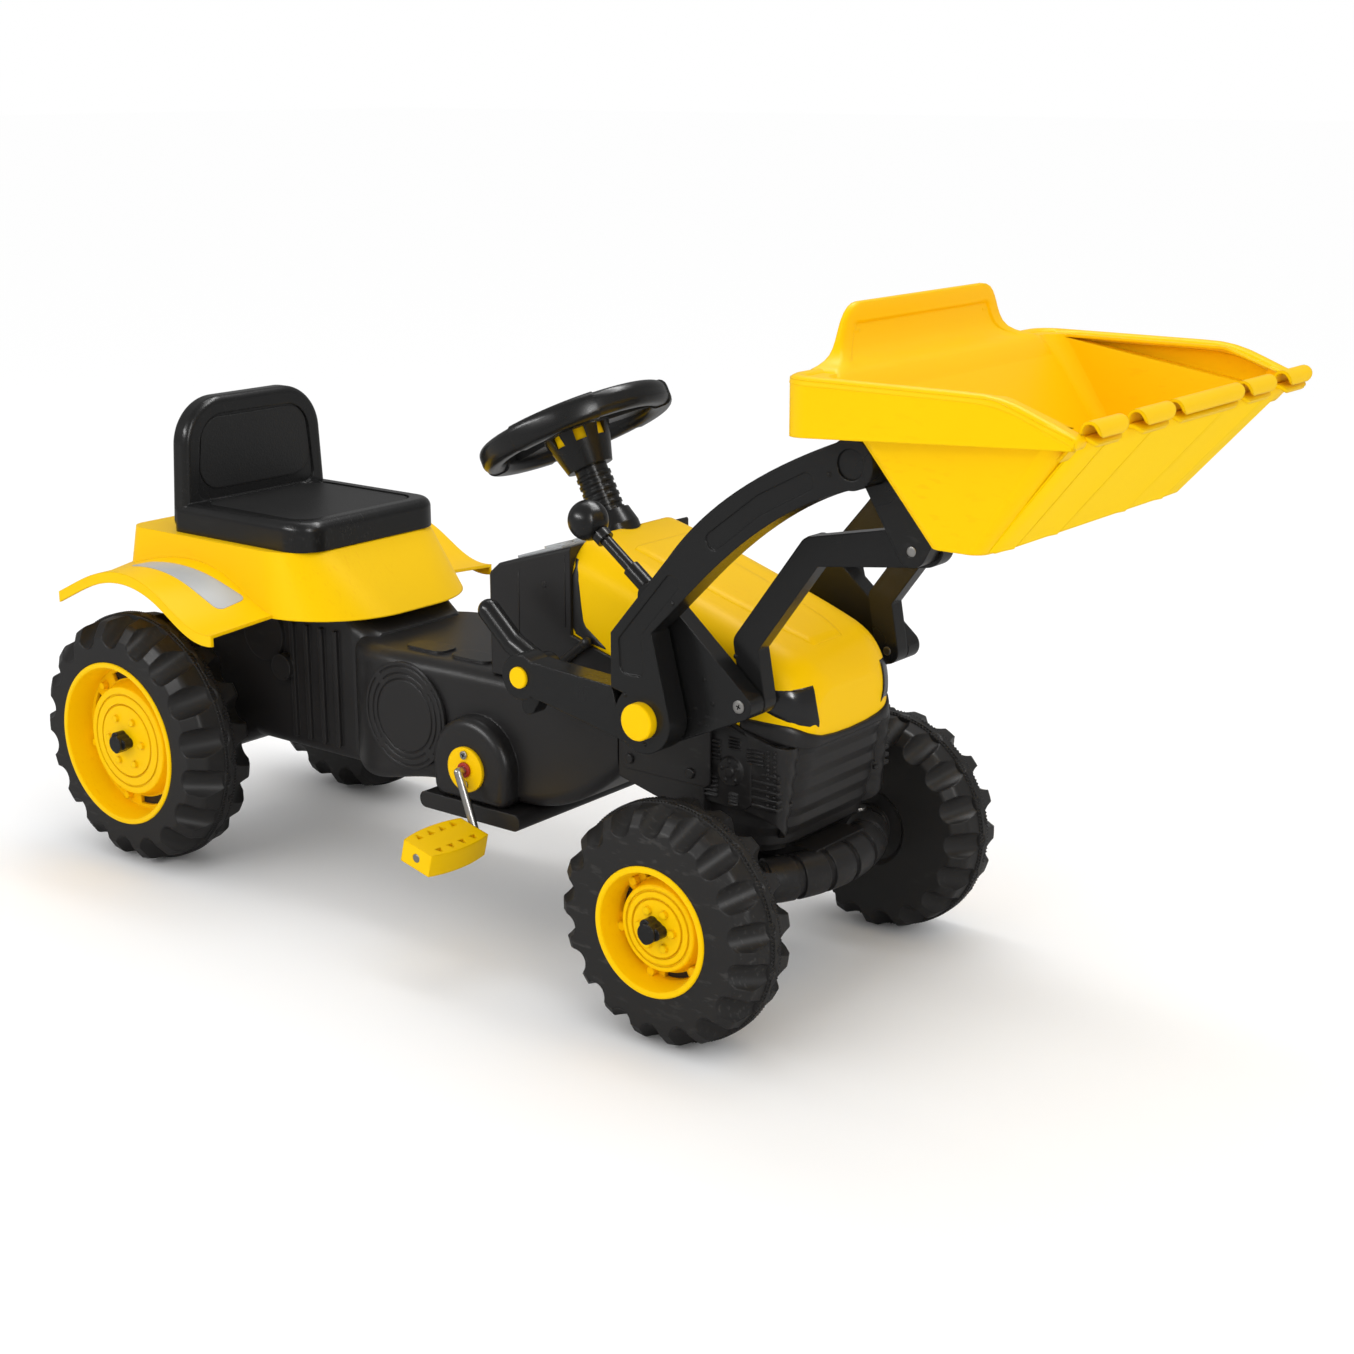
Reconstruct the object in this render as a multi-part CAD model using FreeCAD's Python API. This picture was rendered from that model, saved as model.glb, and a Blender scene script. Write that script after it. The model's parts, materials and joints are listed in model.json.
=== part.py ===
import FreeCAD, Part
import math
import os

from FreeCAD import Vector

# Ride-on pedal tractor with a front loader, in millimetres.
# While it is drawn, x runs forward from the rear axle, y to the left and z up from the ground.
# The finished pieces are moved along x so that the origin lies under the middle of the whole toy.

# Shared fits
running_fit = 0.05
seat_gap = 0.3
side_gap = 2.0
overrun = 20.0

# Wheels
wheelbase = 880.0
rear_tyre_radius = 162.0
rear_tyre_width = 98.0
rear_tyre_middle = 185.0
rear_rim_radius = 106.0
front_tyre_radius = 132.0
front_tyre_width = 86.0
front_tyre_middle = 207.0
front_rim_radius = 71.5
lug_count = 18
scoop_radius_share = 0.118
scoop_depth_share = 0.2
tyre_side_share = 0.85
tyre_shoulder_share = 0.965
tyre_crown_share = 0.985
shoulder_place_share = 0.72
scoop_start_share = 0.1
seam_band_width = 9.0
shoulder_round = 12.0
tyre_dish_depth = 5.0
tyre_hub_ring_share = 0.2
tyre_dish_share = 0.6
rim_pocket_share = 0.4
rim_floor_depth = 5.0
rim_flange_width = 7.0
rim_flange_rise = 2.0
rim_disc_depth_share = 0.55
rim_wall_lean = 5.0
rim_disc_share = 0.66
rim_disc_foot_share = 0.72
rim_crown_share = 0.2
rim_crown_rise = 3.0
rim_slot_count = 6
rim_slot_inner_share = 0.74
rim_slot_outer_share = 0.84
rim_slot_degrees = 32.0
rim_groove_shares = (0.44, 0.56)
rim_groove_width = 2.0
rim_groove_depth = 1.2
rim_boss_radius = 5.0
rim_boss_rise = 8.0
wheel_nut_radius = 4.5
wheel_nut_rise = 3.0
wheel_nut_circle_share = 0.3
axle_radius = 6.0
hub_cap_radius = 11.0
hub_cap_lobe_radius = 7.0
hub_cap_lobe_circle = 8.0
hub_cap_height = 17.0
hub_cap_round = 2.0
hub_cap_bore_depth = 9.0

# Hull under the rider
wall = 3.0
hull_start = 296.0
hull_length = 430.0
hull_half_width = 115.0
hull_low = 154.0
hull_height = 166.0
hull_corner = 18.0
# shares of the hull's length, half width and height: station, half width, underside, deck
hull_station_shares = (
    (0.0, 0.82, 0.0, 1.0),
    (0.13, 1.0, 0.0, 1.0),
    (0.33, 1.0, 0.1, 1.0),
    (0.72, 1.0, 0.1, 1.0),
    (0.84, 1.0, 0.2, 1.0),
    (1.0, 0.97, 0.5, 1.0),
)
tail_start = -58.0
tail_length = 372.0
tail_half_width = 88.0
# the same shares for the tail, whose top is measured up to the platform's underside
tail_station_shares = (
    (0.0, 0.86, 0.1, 1.0),
    (0.09, 1.0, -0.2, 1.0),
    (0.22, 1.0, -0.2, 1.0),
    (0.42, 1.0, 0.0, 1.0),
    (0.6, 1.0, 0.0, 1.0),
    (0.76, 1.0, 0.0, 1.0),
    (0.92, 1.0, 0.0, 0.7),
    (1.0, 0.92, 0.0, 0.64),
)
chain_case_room = 3.0
side_disc_radius = 36.0
side_disc_rise = 6.0
side_disc_x = 128.0
side_disc_z = 300.0
side_boss_radius = 17.0
side_boss_rise = 12.0
side_boss_x = 165.0
side_boss_z = 262.0
side_rib_width = 7.0
side_rib_rise = 5.0
side_rib_pitch = 26.0
side_rib_count = 4
side_rib_x = 176.0
side_rib_low = 172.0
side_rib_high = 322.0
tread_pad_length = 62.0
tread_pad_width = 34.0
tread_pad_rise = 3.0
tread_pad_x = 372.0
tread_pad_pitch = 74.0
tread_pad_y = 70.0
tread_pad_round = 12.0
hitch_reach = 46.0
hitch_half_width = 24.0
hitch_thickness = 10.0
hitch_z = 262.0
hitch_bore_radius = 6.0

# Crank, pedals and chain drive
crank_x = 520.0
crank_z = 208.0
crank_boss_radius = 60.0
crank_boss_foot = 42.0
crank_boss_foot_half = 58.0
crank_boss_foot_round = 16.0
crank_boss_edge_round = 12.0
crank_boss_face = 137.0
crank_rod_radius = 5.0
crank_throw = 75.0
crank_degrees = -65.0
crank_bend_y = 152.0
crank_flare = 6.0
bearing_plate_radius = 27.0
bearing_plate_thickness = 4.0
bush_radius = 9.0
bush_proud = 3.0
bush_length = 16.0
bearing_screw_circle = 18.0
pedal_inner_y = 164.0
pedal_length = 92.0
pedal_half_depth = 22.0
pedal_bulge = 6.0
pedal_thickness = 27.0
pedal_pitch_degrees = 14.0
pedal_notch_count = 4
pedal_notch_size = 9.0
pedal_notch_depth = 8.0
pedal_notch_inset = 9.0
chain_pitch = 12.7
crank_teeth = 18
axle_teeth = 14
sprocket_thickness = 3.0
sprocket_hub_radius = 13.0
sprocket_hub_length = 14.0
tooth_rise = 3.0
roller_radius = 4.0
chain_thickness = 7.0
chain_width = 7.0
chain_y = 38.0
axle_bush_radius = 13.0
axle_bush_spigot = 10.0

# Screws
screw_head_radius = 5.0
screw_head_height = 2.5

# Round side covers
cover_x = 402.0
cover_z = 246.0
cover_radius = 66.0
cover_rise = 4.0
cover_groove_radius_shares = (0.7, 0.81, 0.94)
cover_groove_width = 2.0
cover_groove_depth = 1.2
cover_tab_count = 4
cover_tab_width = 9.0

# Plate under the crank
guard_length = 158.0
guard_half_width = 136.0
guard_low = 146.0
guard_round = 9.0

# Seat and its platform with fenders
platform_top = 420.0
platform_low = 342.0
platform_back = -76.0
platform_front_top = 240.0
platform_front_low = 316.0
platform_half_top = 134.0
platform_half_low = 150.0
platform_back_round = 24.0
platform_front_round_top = 62.0
platform_front_round_low = 120.0
fender_inner_y = 128.0
fender_outer_y = 246.0
fender_length = 290.0
fender_back = -80.0
fender_height = 76.0
fender_low = 340.0
fender_thickness = 4.0
fender_lip_depth = 14.0
# shares of the fender's length and height along its inner and outer edge
fender_inner_shares = (
    (0.0, 0.4), (0.1, 0.5), (0.3, 0.66), (0.46, 0.7), (0.64, 0.62), (0.86, 0.3), (1.0, 0.1))
fender_outer_shares = (
    (0.0, 0.16), (0.1, 0.34), (0.3, 0.64), (0.46, 0.7), (0.64, 0.52), (0.86, 0.06), (1.0, 0.0))
seat_back_x = -4.0
seat_length = 246.0
seat_half_width = 122.0
seat_height = 37.0
seat_corner = 38.0
seat_edge_round = 12.0
back_thickness = 30.0
back_half_top = 112.0
back_top = 588.0
back_corner = 62.0
back_foot_corner = 14.0
back_edge_round = 9.0
panel_inset = 22.0
panel_depth = 2.5
panel_corner = 28.0

# Console with its instrument plate
console_back = 533.0
console_half_width = 107.0
console_back_high = 438.0
console_lip = 15.0
console_lip_rise = 13.0
console_top = 484.0
console_round = 8.0
instrument_half_width = 84.0
instrument_thickness = 3.0
instrument_start_share = 0.1
instrument_end_share = 0.72
gauge_radius = 17.0
gauge_rise = 3.0
gauge_spread = 50.0

# Hood, headlights and the engine housing under it
hood_back = 656.0
hood_length = 302.0
hood_half_width = 105.0
hood_low_back = 384.0
hood_low_front = 302.0
hood_top_back = 490.0
hood_corner = 42.0
hood_wall = 3.5
# shares of the hood's length, half width, height from its lower edge to hood_top_back, and corner
hood_station_shares = (
    (0.0, 0.98, 1.0, 1.0),
    (0.3, 1.0, 0.975, 1.0),
    (0.6, 1.0, 0.93, 1.0),
    (0.8, 0.985, 0.89, 1.0),
    (0.91, 0.93, 0.83, 1.0),
    (0.97, 0.81, 0.72, 1.0),
    (1.0, 0.62, 0.55, 0.85),
)
headlight_thickness = 1.5
headlight_back = 898.0
headlight_inner_y = 58.0
headlight_low = 322.0
headlight_high = 376.0
headlight_dip = 7.0
housing_back = 728.0
housing_half_width = 112.0
housing_box_length = 118.0
housing_low_back = 236.0
housing_low_front = 206.0
nose_back = 828.0
nose_front_low = 916.0
nose_front_high = 955.0
nose_low = 178.0
nose_high = 326.0
nose_half_low = 92.0
nose_half_high = 106.0
nose_back_round = 10.0
nose_front_round_low = 40.0
nose_front_round_high = 52.0
nose_rib_count = 7
nose_rib_rise = 1.8
nose_floor = 12.0
fin_length = 34.0
fin_thickness = 4.0
fin_rise = 5.0
fin_pitch = 9.0
fin_count = 5
fin_x = 858.0
fin_low = 236.0
fin_block_spacing = 48.0
pump_radius = 15.0
pump_rise = 8.0
pump_x = 866.0
pump_z = 218.0
bumper_reach = 949.0
bumper_z = 152.0
bumper_sweep_radius = 179.0
bumper_half_degrees = 35.0
bumper_radius = 22.0
bumper_rib_rise = 3.0
bumper_rib_count = 6
bumper_rib_degrees = 9.2
bumper_neck_half = 46.0
bumper_neck_height = 16.0
bumper_neck_back = 896.0

# Front axle and steering
axle_beam_half_depth = 15.0
kingpin_y = 140.0
kingpin_radius = 6.0
kingpin_head_radius = 10.0
kingpin_head_height = 4.0
knuckle_radius = 14.0
knuckle_height = 40.0
fork_thickness = 7.0
fork_radius = 16.0
beam_end_inset = 22.0
steering_arm_length = 62.0
steering_arm_thickness = 8.0
steering_arm_end_radius = 13.0
tie_pin_radius = 4.0
tie_pin_room = 4.2
tie_rod_radius = 5.0
tie_rod_drop = 9.3
tie_plate_half_width = 15.0
tie_plate_thickness = 6.0
tie_slot_half_width = 7.0
tie_slot_length = 34.0
tie_slot_lead = 12.0
tie_plate_border = 8.0
column_x = 574.0
column_z = 594.0
column_lean_degrees = 27.4
column_radius = 6.0
column_drop = 475.0
column_crank = 30.0
column_pin_length = 58.0
column_channel_radius = 16.0
steering_wheel_radius = 102.0
steering_rim_width = 25.0
steering_rim_height = 28.0
steering_rim_round = 10.0
spoke_count = 3
spoke_width = 30.0
spoke_thickness = 10.0
steering_hub_radius = 40.0
steering_hub_low_radius = 27.0
steering_hub_depth = 44.0
steering_cap_rise = 6.0
horn_window_count = 8
horn_window_width = 13.0
horn_window_height = 13.0
horn_ring_radius = 33.0
horn_ring_thickness = 3.0
sleeve_radius = 19.0
sleeve_length = 62.0
sleeve_rib_count = 6
sleeve_rib_rise = 1.6
collar_radius = 30.0
collar_top_radius = 25.0
collar_height = 18.0

# Loader
pivot_x = 830.0
pivot_z = 339.0
boom_reach = 388.0
boom_degrees = 49.7
boom_inner_y = 168.0
boom_thickness = 30.0
boom_pivot_radius = 36.0
boom_end_radius = 25.0
boom_flange_radius = 25.0
boom_panel_depth = 1.5
# places along and across, as shares of the boom's reach, measured from its pivot in x and z
boom_back_shares = ((-0.106, 0.075), (-0.106, 0.227), (0.088, 0.456))
boom_top_curve_shares = ((0.088, 0.456), (0.2, 0.575), (0.371, 0.698), (0.539, 0.784), (0.62, 0.818))
boom_low_curve_shares = ((0.69, 0.71), (0.541, 0.66), (0.374, 0.562), (0.198, 0.412))
boom_front_shares = ((0.031, 0.245), (0.088, 0.03))
boom_flange_shares = (-0.438, 0.044)
boom_ext_high_shares = ((-0.106, 0.078), (-0.4, 0.095))
boom_ext_low_shares = ((-0.42, 0.0), (-0.06, -0.07))
boom_panel_shares = ((-0.075, 0.12), (-0.08, 0.215), (0.09, 0.415), (0.14, 0.4), (-0.002, 0.235),
    (0.01, 0.12))
boom_upper_panel_shares = ((0.2, 0.525), (0.37, 0.655), (0.53, 0.738), (0.545, 0.695), (0.38, 0.605),
    (0.235, 0.49))
boom_panel_round = 8.0
pivot_radius = 8.0
cap_radius = 20.0
cap_proud = 11.0
cap_round = 2.0
small_cap_radius = 12.0
small_cap_proud = 4.0
bracket_thickness = 3.0
bracket_boss_radius = 26.0
bracket_length = 96.0
bracket_low = 248.0
bracket_round = 8.0
bracket_screw_inset = 12.0
grip_radius = 13.0
grip_disc_radius = 19.0
grip_disc_thickness = 20.0
grip_tail_radius = 9.0
# places as shares of the boom's reach, measured from the boom's rear flange
grip_bend_shares = (-0.121, 0.057)
grip_end_shares = (-0.211, 0.139)
grip_tail_shares = (-0.038, -0.11)
plate_inner_y = 139.0
plate_thickness = 23.0
plate_pivot_radius = 34.0
plate_tip_radius = 15.0
plate_socket_radius = 15.0
# places from the pivot as shares of the boom's reach
plate_tip_shares = (0.253, 0.062)
plate_socket_shares = (-0.049, 0.314)
lever_ball_shares = (-0.284, 0.49)
lever_rod_radius = 6.5
ferrule_radius = 9.5
ferrule_length = 26.0
ball_radius = 22.0
ball_neck_radius = 10.0
ball_neck_length = 8.0
link_inner_y = 117.0
link_thickness = 20.0
link_half_width = 15.0
link_end_radius = 20.0
# places from the plate's tip as shares of the boom's reach
link_knee_shares = ((-0.028, 0.152), (0.177, 0.43))
link_end_shares = (0.515, 0.487)
link_pin_radius = 5.0
link_pin_head = 1.2
link_pin_room = 5.8
boom_pin_radius = 7.0
boom_pin_head_radius = 15.0
boom_pin_head_depth = 6.0

# Bucket
bucket_wall = 3.0
bucket_mouth_rise = 90.0
bucket_back = 1056.0
bucket_back_high = 717.0
bucket_lip_x = 1322.0
bucket_lip_z = 677.0
bucket_half_back = 232.0
bucket_half_lip = 228.0
bucket_low = 568.0
bucket_floor_back = 1169.0
bucket_floor_front = 1228.0
bucket_half_low = 205.0
bucket_corner_low = 16.0
bucket_corner_high = 24.0
rim_back = 1030.0
rim_half_width = 246.0
rim_skirt_low = 662.0
rim_level_end = 1258.0
rim_tip_x = 1334.0
rim_tip_z = 690.0
rim_tip_depth = 10.0
rim_corner = 30.0
guard_plate_thickness = 5.0
guard_base_half = 158.0
guard_top_half = 132.0
guard_top = 772.0
guard_corner = 22.0
guard_panel_inset = 16.0
guard_panel_depth = 1.5
# each tooth's two sides as shares of the lip's half width
tooth_side_shares = ((-1.0, -0.76), (-0.62, -0.36), (-0.29, 0.29), (0.36, 0.62), (0.76, 1.0))
tooth_reach = 9.0
tooth_root = 14.0
tooth_curl_radius = 10.0
tooth_curl_degrees = 115.0
tooth_thickness = 4.0
tooth_proud = 0.5
tooth_round = 9.0
# each step's place as a share of the half width, at the floor and at the lip
step_place_shares = ((-0.69, -0.78), (-0.31, -0.33), (0.31, 0.33), (0.69, 0.78))
step_width = 16.0
step_depth = 2.4
step_end_gap = 22.0
corner_pull_share = 0.25
bracket_ear_radius = 20.0
bracket_link_radius = 16.0
bracket_wall_top_shares = (0.16, 0.0)
bracket_wall_low_shares = (0.18, -0.1)


# Places that follow from the sizes
rear_axle = Vector(0, 0, rear_tyre_radius)
front_axle = Vector(wheelbase, 0, front_tyre_radius)
loader_pivot = Vector(pivot_x, 0, pivot_z)
boom_angle = math.radians(boom_degrees)
bucket_pivot = loader_pivot + Vector(math.cos(boom_angle), 0, math.sin(boom_angle)) * boom_reach
flange_place = loader_pivot + Vector(boom_flange_shares[0], 0, boom_flange_shares[1]) * boom_reach
plate_tip = loader_pivot + Vector(plate_tip_shares[0], 0, plate_tip_shares[1]) * boom_reach
link_end = plate_tip + Vector(link_end_shares[0], 0, link_end_shares[1]) * boom_reach
boom_outer_y = boom_inner_y + boom_thickness
plate_outer_y = plate_inner_y + plate_thickness
link_outer_y = link_inner_y + link_thickness
crank_angle = math.radians(crank_degrees)
pedal_offset = Vector(math.cos(crank_angle), 0, math.sin(crank_angle)) * crank_throw
crank_place = Vector(crank_x, 0, crank_z)
column_lean = math.radians(column_lean_degrees)
column_up = Vector(-math.sin(column_lean), 0, math.cos(column_lean))
column_back = Vector(-math.cos(column_lean), 0, -math.sin(column_lean))
column_head = Vector(column_x, 0, column_z)
deck_z = hull_low + hull_height


# Drawing helpers
def flat_y(y):
    """Places an outline's two numbers as x and z on the plane at y."""
    return lambda u, v: Vector(u, y, v)


def flat_z(z):
    """Places an outline's two numbers as x and y on the plane at z."""
    return lambda u, v: Vector(u, v, z)


def flat_x(x):
    """Places an outline's two numbers as y and z on the plane at x."""
    return lambda u, v: Vector(x, u, v)


def rounded(points, place):
    """A closed wire through (u, v, corner radius) points, with tangent arcs at the corners."""
    count = len(points)
    edges = []
    runs = []
    for index in range(count):
        here = Vector(points[index][0], points[index][1], 0)
        before = Vector(points[index - 1][0], points[index - 1][1], 0)
        after = Vector(points[(index + 1) % count][0], points[(index + 1) % count][1], 0)
        radius = points[index][2]
        to_before = (before - here).normalize()
        to_after = (after - here).normalize()
        half_turn = to_before.getAngle(to_after) / 2
        if radius > 0:
            setback = radius / math.tan(half_turn)
            middle = (to_before + to_after).normalize()
            centre = here + middle * (radius / math.sin(half_turn))
            runs.append((here + to_before * setback, centre - middle * radius, here + to_after * setback))
        else:
            runs.append((here, None, here))
    for index in range(count):
        start, through, end = runs[index]
        if through is not None:
            arc = Part.Arc(place(start.x, start.y), place(through.x, through.y), place(end.x, end.y))
            edges.append(arc.toShape())
        following = runs[(index + 1) % count][0]
        edges.append(Part.LineSegment(place(end.x, end.y), place(following.x, following.y)).toShape())
    return Part.Wire(edges)


def slab(points, y_from, y_to):
    """A plate of the given x, z outline between two values of y."""
    return Part.Face(rounded(points, flat_y(y_from))).extrude(Vector(0, y_to - y_from, 0))


def rectangle(u_from, u_to, v_from, v_to, radius):
    """The four corners of a rectangle, each with the same radius."""
    return ((u_from, v_from, radius), (u_to, v_from, radius), (u_to, v_to, radius), (u_from, v_to, radius))


def web(circles, y_from, y_to):
    """A plate whose outline wraps round circles (x, z, radius), listed anticlockwise in x and z."""
    count = len(circles)
    touches = []
    for index in range(count):
        u, v, radius = circles[index]
        next_u, next_v, next_radius = circles[(index + 1) % count]
        heading = math.atan2(next_v - v, next_u - u)
        spread = math.asin((radius - next_radius) / math.hypot(next_u - u, next_v - v))
        side = heading - math.pi / 2 + spread
        ray = Vector(math.cos(side), math.sin(side), 0)
        touches.append((Vector(u, v, 0) + ray * radius, Vector(next_u, next_v, 0) + ray * next_radius, side))
    place = flat_y(y_from)
    edges = []
    for index in range(count):
        leave, arrive, side = touches[index]
        edges.append(Part.LineSegment(place(leave.x, leave.y), place(arrive.x, arrive.y)).toShape())
        next_leave, unused, next_side = touches[(index + 1) % count]
        u, v, radius = circles[(index + 1) % count]
        turn = (next_side - side) % (2 * math.pi)
        middle = side + turn / 2
        through = place(u + radius * math.cos(middle), v + radius * math.sin(middle))
        edges.append(Part.Arc(place(arrive.x, arrive.y), through,
            place(next_leave.x, next_leave.y)).toShape())
    return Part.Face(Part.Wire(edges)).extrude(Vector(0, y_to - y_from, 0))


def cylinder_y(place, radius, y_from, y_to):
    """A cylinder along y through the x and z of a place."""
    return Part.makeCylinder(radius, y_to - y_from, Vector(place.x, y_from, place.z), Vector(0, 1, 0))


def rod(start, end, radius):
    """A round bar between two points."""
    return Part.makeCylinder(radius, (end - start).Length, start, end - start)


def bent_rod(points, radius):
    """A round bar through a row of points, with a round corner at each bend."""
    pieces = [rod(points[index], points[index + 1], radius) for index in range(len(points) - 1)]
    corners = [Part.makeSphere(radius, corner) for corner in points[1:-1]]
    return pieces[0].fuse(pieces[1:] + corners).removeSplitter()


def turned(points):
    """A solid turned about y from an outline of (radius, y, corner radius) points."""
    face = Part.Face(rounded(points, flat_z(0)))
    return face.revolve(Vector(0, 0, 0), Vector(0, 1, 0), 360)


def mirrored(shape):
    """The same piece on the other side of the toy."""
    return shape.mirror(Vector(0, 0, 0), Vector(0, 1, 0))


def both_sides(shape):
    """A piece and its mirror image, as two solids of one node."""
    return Part.makeCompound([shape, mirrored(shape)])


def moved(shape, place):
    """A copy of a shape, moved by a vector."""
    copy = shape.copy()
    copy.translate(place)
    return copy


def spun_y(shape, degrees):
    """A copy of a shape, turned about the y axis."""
    copy = shape.copy()
    copy.rotate(Vector(0, 0, 0), Vector(0, 1, 0), degrees)
    return copy


def curve(points):
    """A smooth edge through points."""
    spline = Part.BSplineCurve()
    spline.interpolate(points)
    return spline.toShape()


# Wheels, drawn round the origin with the outer face towards +y
def tyre(radius, width, rim_radius):
    """A blow-moulded tyre with scooped lugs, staggered each side of its seam."""
    half = width / 2
    bore = axle_radius + running_fit
    crown = radius * tyre_crown_share
    band = seam_band_width / 2
    shoulder = radius * tyre_shoulder_share
    shoulder_y = half * shoulder_place_share
    side = radius * tyre_side_share
    ring = radius * tyre_hub_ring_share
    dish = rim_radius * tyre_dish_share
    pocket = rim_radius + running_fit
    pocket_y = half - width * rim_pocket_share
    body = turned((
        (bore, -half, 0), (ring, -half, 0), (ring, tyre_dish_depth - half, 0),
        (dish, tyre_dish_depth - half, 0),
        (dish + tyre_dish_depth, -half, 0), (side, -half, shoulder_round / 2),
        (shoulder, -shoulder_y, shoulder_round),
        (crown, -band, 0), (radius, -band, 0), (radius, band, 0), (crown, band, 0),
        (shoulder, shoulder_y, shoulder_round), (side, half, shoulder_round / 2), (pocket, half, 0),
        (pocket, pocket_y, 0), (bore, pocket_y, 0)))
    scoop = radius * scoop_radius_share
    depth = radius * scoop_depth_share
    scoops = []
    for index in range(lug_count):
        for facing in (-1, 1):
            start = Vector(radius + scoop, facing * half * scoop_start_share, 0)
            end = Vector(radius + scoop - depth, facing * half, 0)
            tool = rod(start, end + (end - start).normalize() * scoop, scoop)
            scoops.append(spun_y(tool, (index + (1 + facing) / 4) * 360 / lug_count))
    inner = bore + wall
    outer = radius - depth - wall
    hollow = turned((
        (inner, tyre_dish_depth + wall - half, 0), (outer, tyre_dish_depth + wall - half, 0),
        (radius - wall * 2, 0, 0),
        (outer, half - wall, 0), (pocket + wall, half - wall, 0), (pocket + wall, pocket_y - wall, 0),
        (inner, pocket_y - wall, 0)))
    return body.cut(scoops + [hollow])


def rim(radius, width):
    """A dished wheel disc with slots, small bosses and a ring of nuts, resting in the tyre's pocket."""
    bore = axle_radius + running_fit
    back = width / 2 - width * rim_pocket_share
    front = width / 2 + rim_flange_rise
    disc = back + (front - back) * rim_disc_depth_share
    floor = back + rim_floor_depth
    inner_wall = radius - rim_flange_width
    body = turned((
        (bore, back, 0), (radius, back, 0), (radius, front, rim_flange_rise),
        (inner_wall, front, rim_flange_rise),
        (inner_wall - rim_wall_lean, floor, 0), (radius * rim_disc_foot_share, floor, 0),
        (radius * rim_disc_share, disc, rim_flange_rise),
        (radius * rim_crown_share, disc + rim_crown_rise, 0),
        (bore, disc + rim_crown_rise, 0)))
    hollow = turned((
        (bore + wall * 2, back - wall, 0), (radius * rim_disc_share - wall, back - wall, 0),
        (radius * rim_disc_share - wall, disc - wall, 0), (bore + wall * 2, disc - wall, 0)))
    cuts = [hollow]
    for share in rim_groove_shares:
        groove_radius = radius * share
        tube = cylinder_y(Vector(0, 0, 0), groove_radius + rim_groove_width, disc - rim_groove_depth, front)
        cuts.append(tube.cut(cylinder_y(Vector(0, 0, 0), groove_radius, back, front)))
    bumps = []
    slot_face = Part.Face(rounded(rectangle(
        radius * rim_slot_inner_share, radius * rim_slot_outer_share, back - overrun, floor + overrun, 0),
        flat_z(0)))
    for index in range(rim_slot_count):
        slot = slot_face.revolve(Vector(0, 0, 0), Vector(0, 1, 0), rim_slot_degrees)
        cuts.append(spun_y(slot, index * 360 / rim_slot_count))
        boss_place = Vector(radius * (rim_slot_inner_share + rim_slot_outer_share) / 2, 0, 0)
        boss = cylinder_y(boss_place, rim_boss_radius, back, floor + rim_boss_rise)
        bumps.append(spun_y(boss, (index - 1 / 2) * 360 / rim_slot_count + rim_slot_degrees / 2))
        nut_place = Vector(radius * wheel_nut_circle_share, 0, 0)
        nut = cylinder_y(nut_place, wheel_nut_radius, back, disc + rim_crown_rise + wheel_nut_rise)
        bumps.append(spun_y(nut, index * 360 / rim_slot_count))
    return body.cut(cuts).fuse(bumps).removeSplitter()


def hub_cap(width):
    """A three-lobed cap pushed over the axle's end."""
    back = width / 2 - width * rim_pocket_share
    front = width / 2 + rim_flange_rise
    foot = back + (front - back) * rim_disc_depth_share + rim_crown_rise
    top = foot + hub_cap_height
    body = cylinder_y(Vector(0, 0, 0), hub_cap_radius, foot, top)
    lobe = cylinder_y(Vector(hub_cap_lobe_circle, 0, 0), hub_cap_lobe_radius, foot, top - hub_cap_round * 2)
    body = body.fuse([spun_y(lobe, turn * 120) for turn in range(3)]).removeSplitter()
    bore = cylinder_y(Vector(0, 0, 0), axle_radius + running_fit, foot, foot + hub_cap_bore_depth)
    return body.cut(bore)


def hub_cap_bore_end(width):
    """How far out from the tyre's middle the axle may reach into the cap."""
    back = width / 2 - width * rim_pocket_share
    front = width / 2 + rim_flange_rise
    return back + (front - back) * rim_disc_depth_share + rim_crown_rise + hub_cap_bore_depth - seat_gap


def wheel_set(radius, width, rim_radius, middle, axle):
    """The left tyre, rim and cap of one axle, at their places."""
    place = Vector(axle.x, middle, axle.z)
    pieces = (tyre(radius, width, rim_radius), rim(rim_radius, width), hub_cap(width))
    return [moved(piece, place) for piece in pieces]


# Hull
def box_section(x, half_width, low, high, corner):
    """A rounded cross-section of the hull, standing across the toy at x."""
    return rounded(rectangle(-half_width, half_width, low, high, corner), flat_x(x))


def station_loft(start, length, half_width, shares, high, inset, straight):
    """A body through cross-sections, smooth or straight between them; inset makes the hollow inside it."""
    wires = []
    last = len(shares) - 1
    for index, (along, wide, under, over) in enumerate(shares):
        x = start + length * along
        if index == 0:
            x = x + inset
        if index == last:
            x = x - inset
        low = hull_low + hull_height * under + inset
        top = hull_low + (high - hull_low) * over - inset
        wires.append(box_section(x, half_width * wide - inset, low, top, hull_corner - inset))
    return Part.makeLoft(wires, True, straight)


def hull_block(inset):
    """The hull's two bodies joined: the long middle and the tail under the seat."""
    middle = station_loft(hull_start, hull_length, hull_half_width, hull_station_shares, deck_z, inset, False)
    tail = station_loft(tail_start, tail_length, tail_half_width, tail_station_shares, platform_top - wall,
        inset, True)
    return middle.fuse(tail)


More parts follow.
